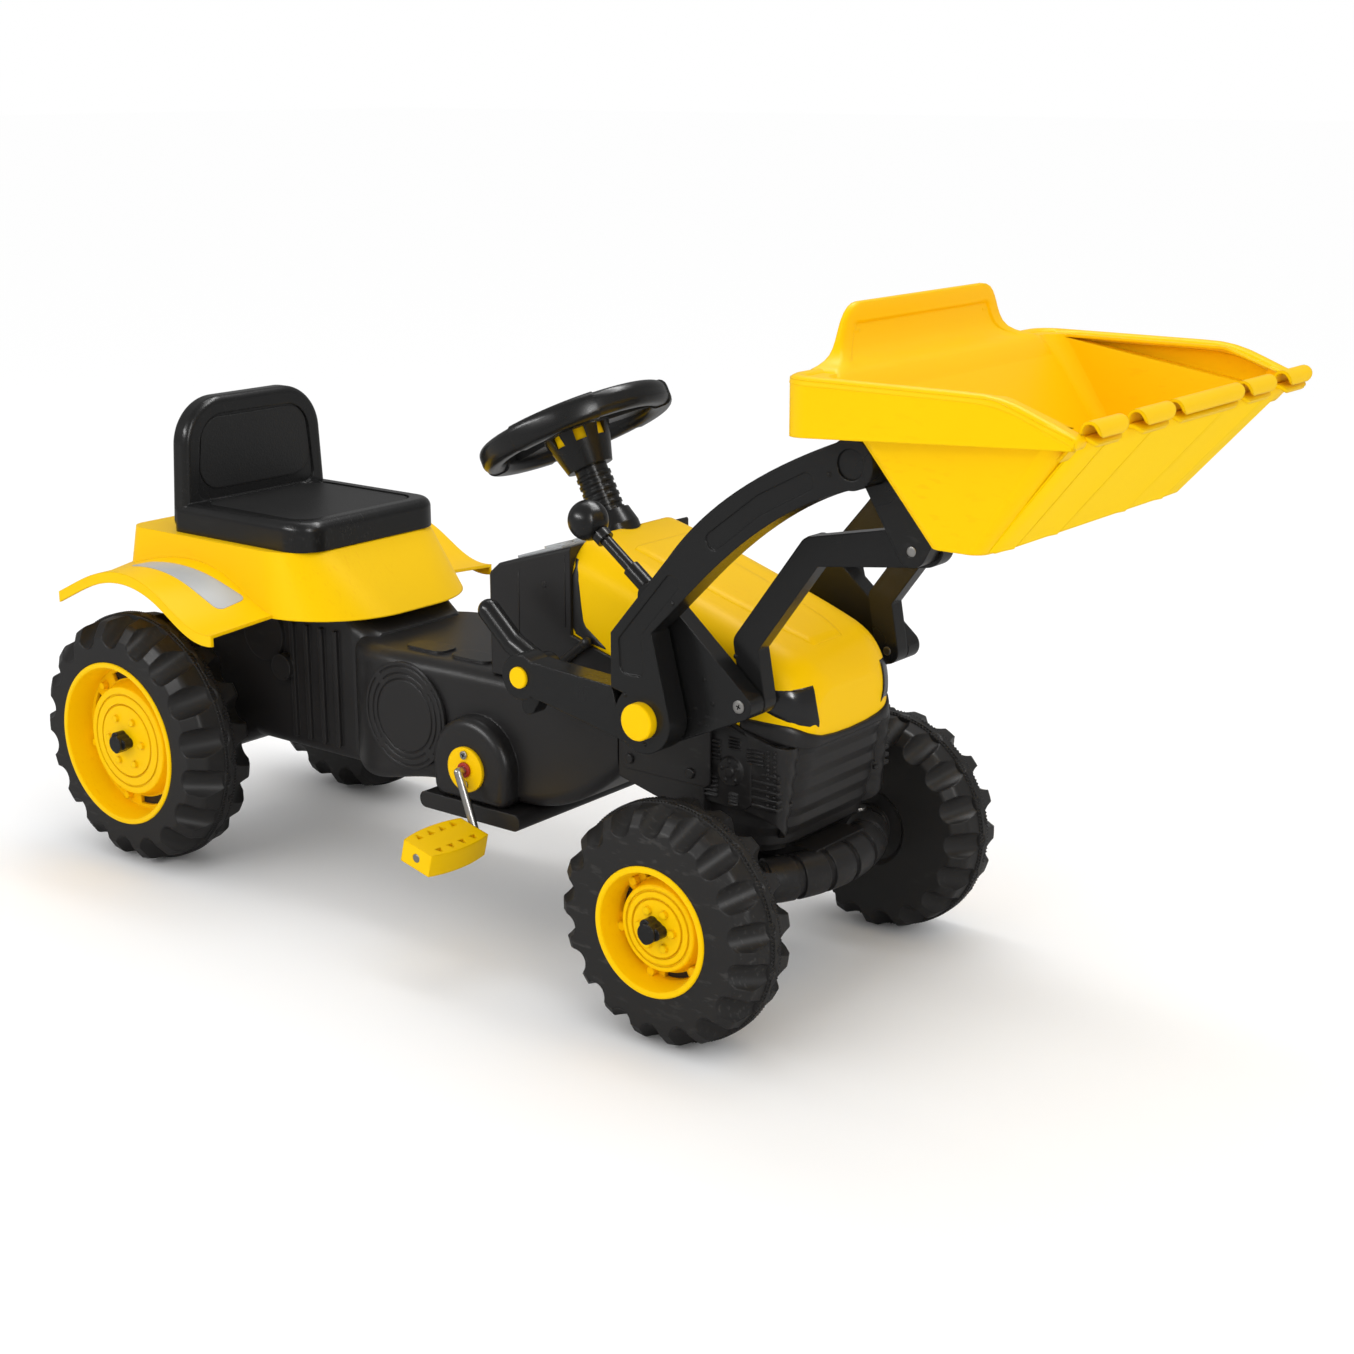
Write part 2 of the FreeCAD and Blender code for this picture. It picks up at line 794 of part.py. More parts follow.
def crank_boss():
    """The round-topped housing that stands out round the crank's bearing."""
    foot = crank_z - crank_boss_foot + crank_boss_foot_round
    half = crank_boss_foot_half - crank_boss_foot_round
    body = web((
        (crank_x, crank_z, crank_boss_radius), (crank_x - half, foot, crank_boss_foot_round),
        (crank_x + half, foot, crank_boss_foot_round)), 0, crank_boss_face)
    rims = [edge for edge in body.Edges if edge.BoundBox.YMin > crank_boss_face - seat_gap]
    return body.makeFillet(crank_boss_edge_round, rims)


def chain_case(grown):
    """The room round the chain and its wheels, grown by a wall for its outside."""
    outer = chain_thickness + chain_case_room + grown
    return web((
        (rear_axle.x, rear_axle.z, chain_radius(axle_teeth, outer)),
        (crank_x, crank_z, chain_radius(crank_teeth, outer))),
        chain_y - chain_width / 2 - chain_case_room - grown,
        chain_y + sprocket_hub_length + chain_case_room + grown)


def column_channel():
    """The way that the steering column takes down through the body."""
    return rod(column_head, column_head - column_up * (column_drop + overrun), column_channel_radius)


def collar_room():
    """The room that the column's collar needs in the pieces round it."""
    return rod(column_head, column_head - column_up * (column_drop / 2), collar_radius + seat_gap)


def chassis_hull():
    """The hollow blow-moulded body: footrests, drive tunnel, crank housings and tow hitch."""
    outer = hull_block(0)
    boss = crank_boss()
    details = [boss, mirrored(boss)]
    for side in (-1, 1):
        face = tail_half_width
        for place_x, place_z, radius, rise in (
                (side_disc_x, side_disc_z, side_disc_radius, side_disc_rise),
                (side_boss_x, side_boss_z, side_boss_radius, side_boss_rise)):
            disc = cylinder_y(Vector(place_x, 0, place_z), radius, face - wall / 2, face + rise)
            details.append(disc if side > 0 else mirrored(disc))
        for index in range(side_rib_count):
            rib_x = side_rib_x + index * side_rib_pitch
            rib = slab(rectangle(rib_x, rib_x + side_rib_width, side_rib_low, side_rib_high,
                side_rib_width / 3),
                       face - wall / 2, face + side_rib_rise)
            details.append(rib if side > 0 else mirrored(rib))
        for index in range(2):
            pad_x = tread_pad_x + index * tread_pad_pitch
            pad = Part.Face(rounded(rectangle(
                pad_x, pad_x + tread_pad_length, tread_pad_y - tread_pad_width / 2,
                tread_pad_y + tread_pad_width / 2,
                tread_pad_round), flat_z(deck_z - wall / 2))).extrude(Vector(0, 0, tread_pad_rise + wall / 2))
            details.append(pad if side > 0 else mirrored(pad))
    tongue = Part.Face(rounded(rectangle(
        tail_start - hitch_reach, tail_start + overrun, -hitch_half_width, hitch_half_width,
        hitch_half_width / 2),
        flat_z(hitch_z))).extrude(Vector(0, 0, hitch_thickness))
    details.append(tongue)
    body = outer.fuse(details + [chain_case(wall)]).cut([hull_block(wall), chain_case(0)])
    hitch_x = tail_start - hitch_reach / 2
    cuts = [
        Part.makeCylinder(hitch_bore_radius, hitch_thickness * 2,
        Vector(hitch_x, 0, hitch_z - hitch_thickness / 2)),
        cylinder_y(rear_axle, axle_bush_spigot + running_fit, -rear_tyre_middle, rear_tyre_middle),
        cylinder_y(crank_place, bush_radius + running_fit, -crank_bend_y, crank_bend_y),
        column_channel(),
    ]
    return body.cut(cuts).removeSplitter()


def bottom_guard(hull):
    """The plate that closes the crank housing from below."""
    back = crank_x - guard_length / 2
    plate = slab(rectangle(back, back + guard_length, guard_low, crank_z - crank_boss_foot, guard_round),
                 -guard_half_width, guard_half_width)
    return plate.cut([hull, chain_case(wall)])


def side_cover():
    """A round cover with ring grooves and short tabs on the hull's side."""
    place = Vector(cover_x, 0, cover_z)
    face = hull_half_width + cover_rise
    disc = cylinder_y(place, cover_radius, hull_half_width - wall / 2, face)
    cuts = []
    for share in cover_groove_radius_shares:
        radius = cover_radius * share
        groove = cylinder_y(place, radius, face - cover_groove_depth, face + overrun)
        cuts.append(groove.cut(cylinder_y(place, radius - cover_groove_width, 0, face + overrun)))
    tabs = []
    for index in range(cover_tab_count):
        tab = slab(rectangle(
            cover_radius * cover_groove_radius_shares[0], cover_radius * cover_groove_radius_shares[2],
            -cover_tab_width / 2, cover_tab_width / 2, 0), hull_half_width, face)
        tabs.append(moved(spun_y(tab, (index + 1 / 2) * 360 / cover_tab_count), Vector(cover_x, 0, cover_z)))
    return disc.cut(cuts).fuse(tabs).removeSplitter().cut([hull_block(0), crank_boss()])


# Crank, pedals and chain
def crankshaft():
    """One bent steel bar: the shaft, a throw each side and the two pedal spindles."""
    spindle_end = pedal_inner_y + pedal_length
    bend = Vector(crank_x, crank_bend_y, crank_z)
    left_pedal = crank_place - pedal_offset
    right_pedal = crank_place + pedal_offset
    spindle_y = crank_bend_y + crank_flare
    points = [
        Vector(right_pedal.x, -spindle_end, right_pedal.z), Vector(right_pedal.x, -spindle_y, right_pedal.z),
        Vector(bend.x, -bend.y, bend.z), bend,
        Vector(left_pedal.x, spindle_y, left_pedal.z), Vector(left_pedal.x, spindle_end, left_pedal.z)]
    return bent_rod(points, crank_rod_radius)


def pedal():
    """A block with bulging sides and a double row of three-cornered grip notches, round the origin."""
    start = pedal_inner_y
    end = start + pedal_length
    middle = (start + end) / 2
    low = -pedal_thickness / 2
    place = flat_z(low)
    half = pedal_half_depth
    bulge = half + pedal_bulge
    edges = [
        Part.LineSegment(place(-half, start), place(half, start)).toShape(),
        Part.Arc(place(half, start), place(bulge, middle), place(half, end)).toShape(),
        Part.LineSegment(place(half, end), place(-half, end)).toShape(),
        Part.Arc(place(-half, end), place(-bulge, middle), place(-half, start)).toShape(),
    ]
    body = Part.Face(Part.Wire(edges)).extrude(Vector(0, 0, pedal_thickness))
    notches = []
    pitch = pedal_length / (pedal_notch_count + 1)
    for facing in (-1, 1):
        for index in range(pedal_notch_count):
            y = start + pitch * (index + 1)
            x = facing * (half - pedal_notch_inset)
            tip = facing * half
            for top in (-1, 1):
                level = top * pedal_thickness / 2
                corners = [Vector(x, y - pedal_notch_size / 2, level),
                    Vector(x, y + pedal_notch_size / 2, level),
                           Vector(tip, y, level)]
                notch = Part.Face(Part.makePolygon(corners + corners[:1]))
                notches.append(notch.extrude(Vector(0, 0, -top * pedal_notch_depth)))
    bore = cylinder_y(Vector(0, 0, 0), crank_rod_radius + running_fit, start - overrun, end + overrun)
    return body.cut(notches + [bore])


def sprocket(teeth, shaft_radius):
    """A chain wheel with a hub, round the origin at the chain's plane."""
    pitch_radius = chain_pitch / 2 / math.sin(math.pi / teeth)
    half = sprocket_thickness / 2
    disc = cylinder_y(Vector(0, 0, 0), pitch_radius + tooth_rise, -half, half)
    gaps = []
    for index in range(teeth):
        gap = cylinder_y(Vector(pitch_radius, 0, 0), roller_radius, -sprocket_thickness, sprocket_thickness)
        gaps.append(spun_y(gap, index * 360 / teeth))
    hub = cylinder_y(Vector(0, 0, 0), sprocket_hub_radius, -half, sprocket_hub_length - half)
    bore = cylinder_y(Vector(0, 0, 0), shaft_radius + running_fit, -overrun, sprocket_hub_length + overrun)
    return disc.cut(gaps).fuse(hub).cut(bore)


def chain_radius(teeth, offset):
    """The radius of the chain's inner or outer face round a chain wheel."""
    return chain_pitch / 2 / math.sin(math.pi / teeth) + tooth_rise + seat_gap + offset


def drive_chain():
    """The closed loop round both chain wheels."""
    half = chain_width / 2
    loops = []
    for offset in (chain_thickness, 0):
        loops.append(web((
            (rear_axle.x, rear_axle.z, chain_radius(axle_teeth, offset)),
            (crank_x, crank_z, chain_radius(crank_teeth, offset))), chain_y - half, chain_y + half))
    return loops[0].cut(loops[1])


def screw(place, direction):
    """A pan-head screw seated at a place, with its head along a direction."""
    return Part.makeCylinder(screw_head_radius, screw_head_height, place, direction)


def bearing_plate():
    """The left crank bearing's round plate."""
    face = crank_boss_face
    plate = cylinder_y(crank_place, bearing_plate_radius, face, face + bearing_plate_thickness)
    return plate.cut(cylinder_y(crank_place, bush_radius + running_fit, 0, face + overrun))


def crank_bush():
    """The left bush that the crank turns in."""
    end = crank_boss_face + bearing_plate_thickness + bush_proud
    body = cylinder_y(crank_place, bush_radius, end - bush_length, end)
    return body.cut(cylinder_y(crank_place, crank_rod_radius + running_fit, 0, end + overrun))


def axle_bush(hull):
    """The left sleeve that carries the rear axle and keeps the wheel off the hull."""
    end = rear_tyre_middle - rear_tyre_width / 2 - seat_gap
    sleeve = cylinder_y(rear_axle, axle_bush_radius, tail_half_width, end)
    spigot = cylinder_y(rear_axle, axle_bush_spigot, tail_half_width - wall * 2, end)
    bore = cylinder_y(rear_axle, axle_radius + running_fit, 0, end + overrun)
    return sleeve.fuse(spigot).cut(bore).removeSplitter().cut(hull)


# Seat and platform
def platform_wire(z, back, front, half_width, back_round, front_round):
    """The platform's outline at one level: square at the back and round at the front."""
    points = ((back, -half_width, back_round), (front, -half_width, front_round),
              (front, half_width, front_round), (back, half_width, back_round))
    return rounded(points, flat_z(z))


def platform_block(inset):
    """The flared box under the seat; inset makes the hollow inside it."""
    low = platform_wire(platform_low - inset * 2, platform_back + inset, platform_front_low - inset,
                        platform_half_low - inset, platform_back_round - inset,
                        platform_front_round_low - inset)
    high = platform_wire(platform_top - inset, platform_back + inset, platform_front_top - inset,
                         platform_half_top - inset, platform_back_round - inset,
                         platform_front_round_top - inset)
    return Part.makeLoft([low, high], True, True)


def fender_band(shares, y, drop, depth):
    """A closed band that starts a drop under the fender's curve, on the plane at y."""
    base = fender_low - drop
    top = [Vector(fender_back + fender_length * along, y, base + fender_height * up) for along, up in shares]
    low = [point - Vector(0, 0, depth) for point in top]
    edges = [curve(top), Part.LineSegment(top[-1], low[-1]).toShape(), curve(low[::-1]),
             Part.LineSegment(low[0], top[0]).toShape()]
    return Part.Wire(edges)


def fender():
    """The left fender: an arched sheet with a turned-down lip."""
    sheet = Part.makeLoft([fender_band(fender_inner_shares, fender_inner_y, 0, fender_thickness),
                           fender_band(fender_outer_shares, fender_outer_y, 0, fender_thickness)], True, True)
    inside = fender_thickness / 2
    lip_wire = fender_band(fender_outer_shares, fender_outer_y - fender_thickness, inside,
                           fender_lip_depth - inside)
    lip = Part.Face(lip_wire).extrude(Vector(0, fender_thickness, 0))
    return sheet.fuse(lip)


def seat_platform():
    """The seat's box and both fenders, one hollow moulding."""
    hollow = platform_block(wall)
    arch = fender()
    return platform_block(0).fuse([arch, mirrored(arch)]).cut(hollow).removeSplitter()


def seat():
    """A moulded seat: a pan with a rounded edge and a backrest, each with a sunk panel."""
    low = platform_top
    high = low + seat_height
    front = seat_back_x + seat_length
    pan_wire = rounded((
        (seat_back_x, -seat_half_width, back_foot_corner), (front, -seat_half_width, seat_corner),
        (front, seat_half_width, seat_corner), (seat_back_x, seat_half_width, back_foot_corner)), flat_z(low))
    pan = Part.Face(pan_wire).extrude(Vector(0, 0, seat_height))
    pan_rims = [edge for edge in pan.Edges if edge.BoundBox.ZMin > high - seat_edge_round]
    pan = pan.makeFillet(seat_edge_round, pan_rims)
    rest = Part.Face(rounded((
        (-seat_half_width, low, back_foot_corner), (seat_half_width, low, back_foot_corner),
        (back_half_top, back_top, back_corner), (-back_half_top, back_top, back_corner)),
        flat_x(seat_back_x))).extrude(Vector(back_thickness, 0, 0))
    rims = [edge for edge in rest.Edges if edge.BoundBox.XLength < seat_gap]
    rest = rest.makeFillet(back_edge_round, rims)
    inner = panel_inset - seat_half_width
    pan_panel = Part.Face(rounded(rectangle(
        seat_back_x + back_thickness, front - panel_inset, inner, -inner, panel_corner),
        flat_z(high - panel_depth))).extrude(Vector(0, 0, overrun))
    panel_top = back_top - panel_inset
    back_panel = Part.Face(rounded((
        (inner, high, panel_corner / 2), (-inner, high, panel_corner / 2),
        (back_half_top - panel_inset, panel_top, back_corner - panel_inset),
        (panel_inset - back_half_top, panel_top, back_corner - panel_inset)),
        flat_x(seat_back_x + back_thickness - panel_depth))).extrude(Vector(overrun, 0, 0))
    room_half = seat_half_width - wall
    pan_room = Part.Face(rounded((
        (seat_back_x + wall, -room_half, back_foot_corner - wall),
        (front - wall, -room_half, seat_corner - wall),
        (front - wall, room_half, seat_corner - wall),
        (seat_back_x + wall, room_half, back_foot_corner - wall)),
        flat_z(low))).extrude(Vector(0, 0, seat_height - panel_depth - wall))
    room_top = back_top - wall
    back_room = Part.Face(rounded((
        (-room_half, low, 0), (room_half, low, 0), (back_half_top - wall, room_top, back_corner - wall),
        (wall - back_half_top, room_top, back_corner - wall)),
        flat_x(seat_back_x + wall))).extrude(Vector(back_thickness - panel_depth - wall * 2, 0, 0))
    return pan.fuse(rest).cut([pan_panel, back_panel, pan_room, back_room]).removeSplitter()


# Hood, console and engine
def hood_low(x):
    """The height of the hood's lower edge at x."""
    return hood_low_back + (hood_low_front - hood_low_back) * (x - hood_back) / hood_length


def hood_section(x, half_width, low, high, corner):
    """An arched cross-section of the hood at x."""
    points = ((-half_width, low, 0), (half_width, low, 0), (half_width, high, corner),
        (-half_width, high, corner))
    return rounded(points, flat_x(x))


def hood_block(offset, drop):
    """The hood's body, grown by an offset and reaching a drop below its edge."""
    wires = []
    last = len(hood_station_shares) - 1
    for index, (along, wide, tall, round_share) in enumerate(hood_station_shares):
        x = hood_back + hood_length * along
        low = hood_low(x) - drop
        high = hood_low(x) + (hood_top_back - hood_low_back) * tall
        if index == last:
            x = x + offset
        half_width = hood_half_width * wide
        corner = hood_corner * round_share
        wires.append(hood_section(x, half_width + offset, low, high + offset, corner + offset))
    return Part.makeLoft(wires, True, False)


def hood():
    """The hood's open-bottomed shell, notched over the loader's pivot shaft."""
    shell = hood_block(0, 0).cut(hood_block(-hood_wall, overrun))
    notch = cylinder_y(loader_pivot, pivot_radius + side_gap, -hood_half_width - overrun,
        hood_half_width + overrun)
    return shell.cut([notch, collar_room()])


def headlight(shell):
    """The left headlight: a thin dark pane wrapped round the hood's front corner."""
    skin = hood_block(headlight_thickness, 0).cut(hood_block(0, overrun))
    front = hood_back + hood_length + overrun
    middle = (headlight_back + front - overrun) / 2
    edges = [
        Part.Arc(Vector(headlight_back, headlight_inner_y, headlight_low + headlight_dip / 2),
                 Vector(middle, headlight_inner_y, headlight_low + headlight_dip),
                 Vector(front, headlight_inner_y, headlight_low)).toShape(),
        Part.LineSegment(Vector(front, headlight_inner_y, headlight_low),
                         Vector(front, headlight_inner_y, headlight_high)).toShape(),
        Part.Arc(Vector(front, headlight_inner_y, headlight_high),
                 Vector(middle, headlight_inner_y, headlight_high - headlight_dip),
                 Vector(headlight_back, headlight_inner_y, headlight_high - headlight_dip / 2)).toShape(),
        Part.LineSegment(Vector(headlight_back, headlight_inner_y, headlight_high - headlight_dip / 2),
                         Vector(headlight_back, headlight_inner_y,
                         headlight_low + headlight_dip / 2)).toShape(),
    ]
    window = Part.Face(Part.Wire(edges)).extrude(Vector(0, hood_half_width, 0))
    pane = skin.common(window).cut(shell)
    pane.translate(Vector(seat_gap, seat_gap, 0))
    return pane


def dashboard():
    """The console between the hull's deck and the hood, with the column's way through it."""
    end = housing_back - seat_gap
    points = (
        (console_back, deck_z, 0), (console_back, console_back_high, console_round),
        (console_back + console_lip, console_back_high + console_lip_rise, console_round),
        (hood_back - seat_gap, console_top, 0), (hood_back - seat_gap, hood_low(hood_back) - seat_gap, 0),
        (end, hood_low(end) - seat_gap, 0), (end, deck_z, 0))
    body = slab(points, -console_half_width, console_half_width)
    rims = [edge for edge in body.Edges
            if edge.BoundBox.YLength < seat_gap and edge.BoundBox.XMax < hood_back - console_lip
            and edge.BoundBox.ZMin > deck_z + console_lip]
    top_wall = wall * 3 / 2
    room = slab((
        (console_back + wall, deck_z, 0), (end - wall, deck_z, 0),
        (end - wall, hood_low(end) - seat_gap - wall, 0),
        (hood_back - seat_gap - wall, hood_low(hood_back) - seat_gap - wall, 0),
        (hood_back - seat_gap - wall, console_top - top_wall, 0),
        (console_back + console_lip, console_back_high + console_lip_rise - top_wall, 0),
        (console_back + wall, console_back_high - wall, 0)), wall - console_half_width,
        console_half_width - wall)
    return body.makeFillet(console_round / 2, rims).cut([room, column_channel()])


def instrument_plate():
    """A pale plate with round gauges on the console's sloping top."""
    start = Vector(console_back + console_lip, 0, console_back_high + console_lip_rise)
    end = Vector(hood_back - seat_gap, 0, console_top)
    slope = (end - start).normalize()
    normal = Vector(-slope.z, 0, slope.x)
    run = (end - start).Length
    left = start + slope * run * instrument_start_share
    right = start + slope * run * instrument_end_share
    corners = [left, right, right + normal * instrument_thickness, left + normal * instrument_thickness]
    half = instrument_half_width
    outline = [Vector(point.x, -half, point.z) for point in corners]
    plate = Part.Face(Part.makePolygon(outline + outline[:1])).extrude(Vector(0, half * 2, 0))
    middle = left + (right - left) / 2
    gauges = [Part.makeCylinder(gauge_radius, instrument_thickness + gauge_rise,
                                Vector(middle.x, side * gauge_spread, middle.z), normal) for side in (-1, 0,
                                1)]
    return plate.fuse(gauges).removeSplitter().cut(collar_room())


def nose_wire(share, ripple):
    """The nose's outline at one level, pushed out at the front by a ripple."""
    z = nose_low + (nose_high - nose_low) * share
    front = nose_front_low + (nose_front_high - nose_front_low) * math.sqrt(share) + ripple
    half = nose_half_low + (nose_half_high - nose_half_low) * math.sqrt(share) + ripple
    corner = nose_front_round_low + (nose_front_round_high - nose_front_round_low) * share
    points = ((nose_back, -half, nose_back_round), (front, -half, corner), (front, half, corner),
              (nose_back, half, nose_back_round))
    return rounded(points, flat_z(z))


def engine_housing():
    """The dark housing under the hood, with a ribbed nose, fin blocks and a round pump each side."""
    box_front = housing_back + housing_box_length
    top = hood_low_back
    box = slab(((housing_back, housing_low_back, 0), (box_front, housing_low_front, 0), (box_front, top, 0),
                (housing_back, top, 0)), -housing_half_width, housing_half_width)
    steps = nose_rib_count * 2
    wires = [nose_wire(step / steps, nose_rib_rise * (step % 2)) for step in range(steps + 1)]
    nose = Part.makeLoft(wires, True, True)
    inner_half = nose_half_low - nose_floor
    box_half = housing_half_width - wall
    box_room = slab(((housing_back + wall, 0, 0), (box_front - wall, 0, 0),
        (box_front - wall, top + overrun, 0),
                     (housing_back + wall, top + overrun, 0)), -box_half, box_half)
    room_low = nose_low + nose_floor
    room_front = nose_front_high - nose_floor
    nose_room = slab(((box_front - overrun, room_low, 0), (nose_front_low - nose_floor, room_low, 0),
                      (room_front, nose_high, 0), (room_front, top + overrun, 0),
                      (box_front - overrun, top + overrun, 0)), -inner_half, inner_half)
    details = []
    for block in range(2):
        for index in range(fin_count):
            low = fin_low + index * fin_pitch
            back = fin_x + block * fin_block_spacing * (block - 1 / 2) * 2
            fin = slab(rectangle(back, back + fin_length, low, low + fin_thickness, 0), inner_half,
                       nose_half_high + fin_rise / 2)
            details.extend((fin, mirrored(fin)))
    pump = cylinder_y(Vector(pump_x, 0, pump_z), pump_radius, inner_half, nose_half_high - pump_rise)
    details.extend((pump, mirrored(pump)))
    hood_end = hood_back + hood_length + overrun
    above = slab(((housing_back - overrun, hood_low(housing_back - overrun) - seat_gap, 0),
                  (hood_end, hood_low(hood_end) - seat_gap, 0), (hood_end, hood_top_back, 0),
                  (housing_back - overrun, hood_top_back, 0)), -hood_length, hood_length)
    shaft = cylinder_y(loader_pivot, pivot_radius + side_gap, -hood_length, hood_length)
    solid = box.fuse([nose] + details)
    return solid.cut([box_room, nose_room, above, shaft, column_channel()]).removeSplitter()


def front_bumper(housing):
    """A ribbed bar swept across under the nose, with a neck up to the housing."""
    centre = Vector(bumper_reach - bumper_sweep_radius, 0, bumper_z)

    def arc_of(radius, middle_degrees, half_degrees):
        face = Part.Face(Part.Wire(Part.makeCircle(radius, Vector(bumper_sweep_radius, 0, 0),
            Vector(0, 1, 0))))
        bar = face.revolve(Vector(0, 0, 0), Vector(0, 0, 1), half_degrees * 2)
        bar.rotate(Vector(0, 0, 0), Vector(0, 0, 1), middle_degrees - half_degrees)
        return moved(bar, centre)

    bar = arc_of(bumper_radius, 0, bumper_half_degrees)
    pitch = bumper_half_degrees * 2 / bumper_rib_count
    ribs = []
    for index in range(bumper_rib_count):
        turn = (index + 1 / 2) * pitch - bumper_half_degrees
        ribs.append(arc_of(bumper_radius + bumper_rib_rise, turn, bumper_rib_degrees / 2))
    neck = slab(rectangle(bumper_neck_back, bumper_reach, nose_low - bumper_neck_height, nose_low, 0),
                -bumper_neck_half, bumper_neck_half)
    return bar.fuse(ribs + [neck]).removeSplitter().cut(housing)


# Front axle and steering
def front_axle_beam():
    """The cross beam under the nose, with a fork at each end for the steering knuckles."""
    low = front_axle.z - knuckle_height / 2 - seat_gap - fork_thickness
    high = front_axle.z + knuckle_height / 2 + seat_gap + fork_thickness
    end = kingpin_y - beam_end_inset
    depth = axle_beam_half_depth
    beam = slab(rectangle(wheelbase - depth, wheelbase + depth, low, high, 0), -end, end)
    post = rectangle(wheelbase - depth, wheelbase + depth, high, nose_low, 0)
    pieces = [slab(post, -bumper_neck_half, bumper_neck_half)]
    bores = []
    for side in (-1, 1):
        for level in (low, high - fork_thickness):
            outline = rectangle(wheelbase - depth, wheelbase + depth, level, level + fork_thickness, 0)
            tongue = slab(outline, end, kingpin_y)
            pieces.append(tongue if side > 0 else mirrored(tongue))
            pieces.append(Part.makeCylinder(fork_radius, fork_thickness,
                Vector(wheelbase, side * kingpin_y, level)))
        bores.append(Part.makeCylinder(kingpin_radius + running_fit, high,
            Vector(wheelbase, side * kingpin_y, 0)))
    return beam.fuse(pieces).cut(bores).removeSplitter()


def kingpin():
    """The left upright pin of the steering knuckle, with a flat head."""
    low = front_axle.z - knuckle_height / 2 - seat_gap - fork_thickness
    high = front_axle.z + knuckle_height / 2 + seat_gap + fork_thickness
    place = Vector(wheelbase, kingpin_y, low)
    head = Part.makeCylinder(kingpin_head_radius, kingpin_head_height, Vector(wheelbase, kingpin_y, high))
    return Part.makeCylinder(kingpin_radius, high - low, place).fuse(head).removeSplitter()


def knuckle():
    """The left steering knuckle: an upright eye, the wheel's stub axle and a steering arm to the rear."""
    low = front_axle.z - knuckle_height / 2
    eye = Part.makeCylinder(knuckle_radius, knuckle_height, Vector(wheelbase, kingpin_y, low))
    stub_end = front_tyre_middle + hub_cap_bore_end(front_tyre_width)
    stub = cylinder_y(front_axle, axle_radius, kingpin_y + kingpin_radius, stub_end)
    collar = cylinder_y(front_axle, axle_bush_radius, kingpin_y + kingpin_radius,
                        front_tyre_middle - front_tyre_width / 2 - seat_gap)
    arm_end = wheelbase - steering_arm_length
    arm_low = front_axle.z - steering_arm_thickness / 2
    arm = Part.Face(rounded(rectangle(
        arm_end, wheelbase, kingpin_y - steering_arm_end_radius, kingpin_y + steering_arm_end_radius, 0),
        flat_z(arm_low))).extrude(Vector(0, 0, steering_arm_thickness))
    tip_place = Vector(arm_end, kingpin_y, arm_low)
    arm_tip = Part.makeCylinder(steering_arm_end_radius, steering_arm_thickness, tip_place)
    bore = Part.makeCylinder(kingpin_radius + running_fit, front_axle.z * 2, Vector(wheelbase, kingpin_y, 0))
    pin_room = Part.makeCylinder(tie_pin_radius + tie_pin_room, front_axle.z * 2,
        Vector(arm_end, kingpin_y, 0))
    return eye.fuse([stub, collar, arm, arm_tip]).cut([bore, pin_room]).removeSplitter()


def column_pin_at(z):
    """Where the column's crank pin crosses a level."""
    start = column_head - column_up * column_drop + column_back * column_crank
    return start - column_up * ((start.z - z) / column_up.z)


def tie_rod():
    """The bar between the steering arms, with a slotted plate that the column's pin moves."""
    x = wheelbase - steering_arm_length
    z = front_axle.z - tie_rod_drop
    bar = rod(Vector(x, -kingpin_y, z), Vector(x, kingpin_y, z), tie_rod_radius)
    ends = []
    for side in (-1, 1):
        ends.append(Part.makeSphere(tie_rod_radius, Vector(x, side * kingpin_y, z)))
        ends.append(Part.makeCylinder(tie_pin_radius, tie_rod_drop + steering_arm_thickness,
                                      Vector(x, side * kingpin_y, z)))
    pin = column_pin_at(z)
    slot_back = pin.x - tie_slot_lead
    low = z - tie_plate_thickness / 2
    plate = Part.Face(rounded(rectangle(
        slot_back - tie_plate_border, x, -tie_plate_half_width, tie_plate_half_width, tie_plate_border / 2),
        flat_z(low))).extrude(Vector(0, 0, tie_plate_thickness))
    slot = Part.Face(rounded(rectangle(
        slot_back, slot_back + tie_slot_length, -tie_slot_half_width, tie_slot_half_width,
        tie_slot_half_width / 2),
        flat_z(0))).extrude(Vector(0, 0, z * 2))
    return bar.fuse(ends + [plate]).cut(slot).removeSplitter()


def on_column(shape):
    """Moves a piece drawn upright round the origin to the leaning column's head."""
    return moved(spun_y(shape, -column_lean_degrees), column_head)


def steering_wheel():
    """A thick rim with broad spokes and a centre plate."""
    half = steering_rim_width / 2
    low = -steering_rim_height / 2
    high = steering_rim_height / 2
    outline = rounded(rectangle(
        steering_wheel_radius - half, steering_wheel_radius + half, low, high, steering_rim_round), flat_y(0))
    ring = Part.Face(outline).revolve(Vector(0, 0, 0), Vector(0, 0, 1), 360)
    spokes = []
    for index in range(spoke_count):
        spoke = Part.makeBox(steering_wheel_radius, spoke_width, spoke_thickness,
                             Vector(0, -spoke_width / 2, -spoke_thickness / 2))
        spoke.rotate(Vector(0, 0, 0), Vector(0, 0, 1), 180 + index * 360 / spoke_count)
        spokes.append(spoke)
    foot = Vector(0, 0, -spoke_thickness / 2)
    plate = Part.makeCylinder(steering_hub_radius, spoke_thickness + steering_cap_rise, foot)
    bore = Part.makeCylinder(column_radius + running_fit, spoke_thickness, foot)
    return on_column(ring.fuse(spokes + [plate]).cut(bore).removeSplitter())


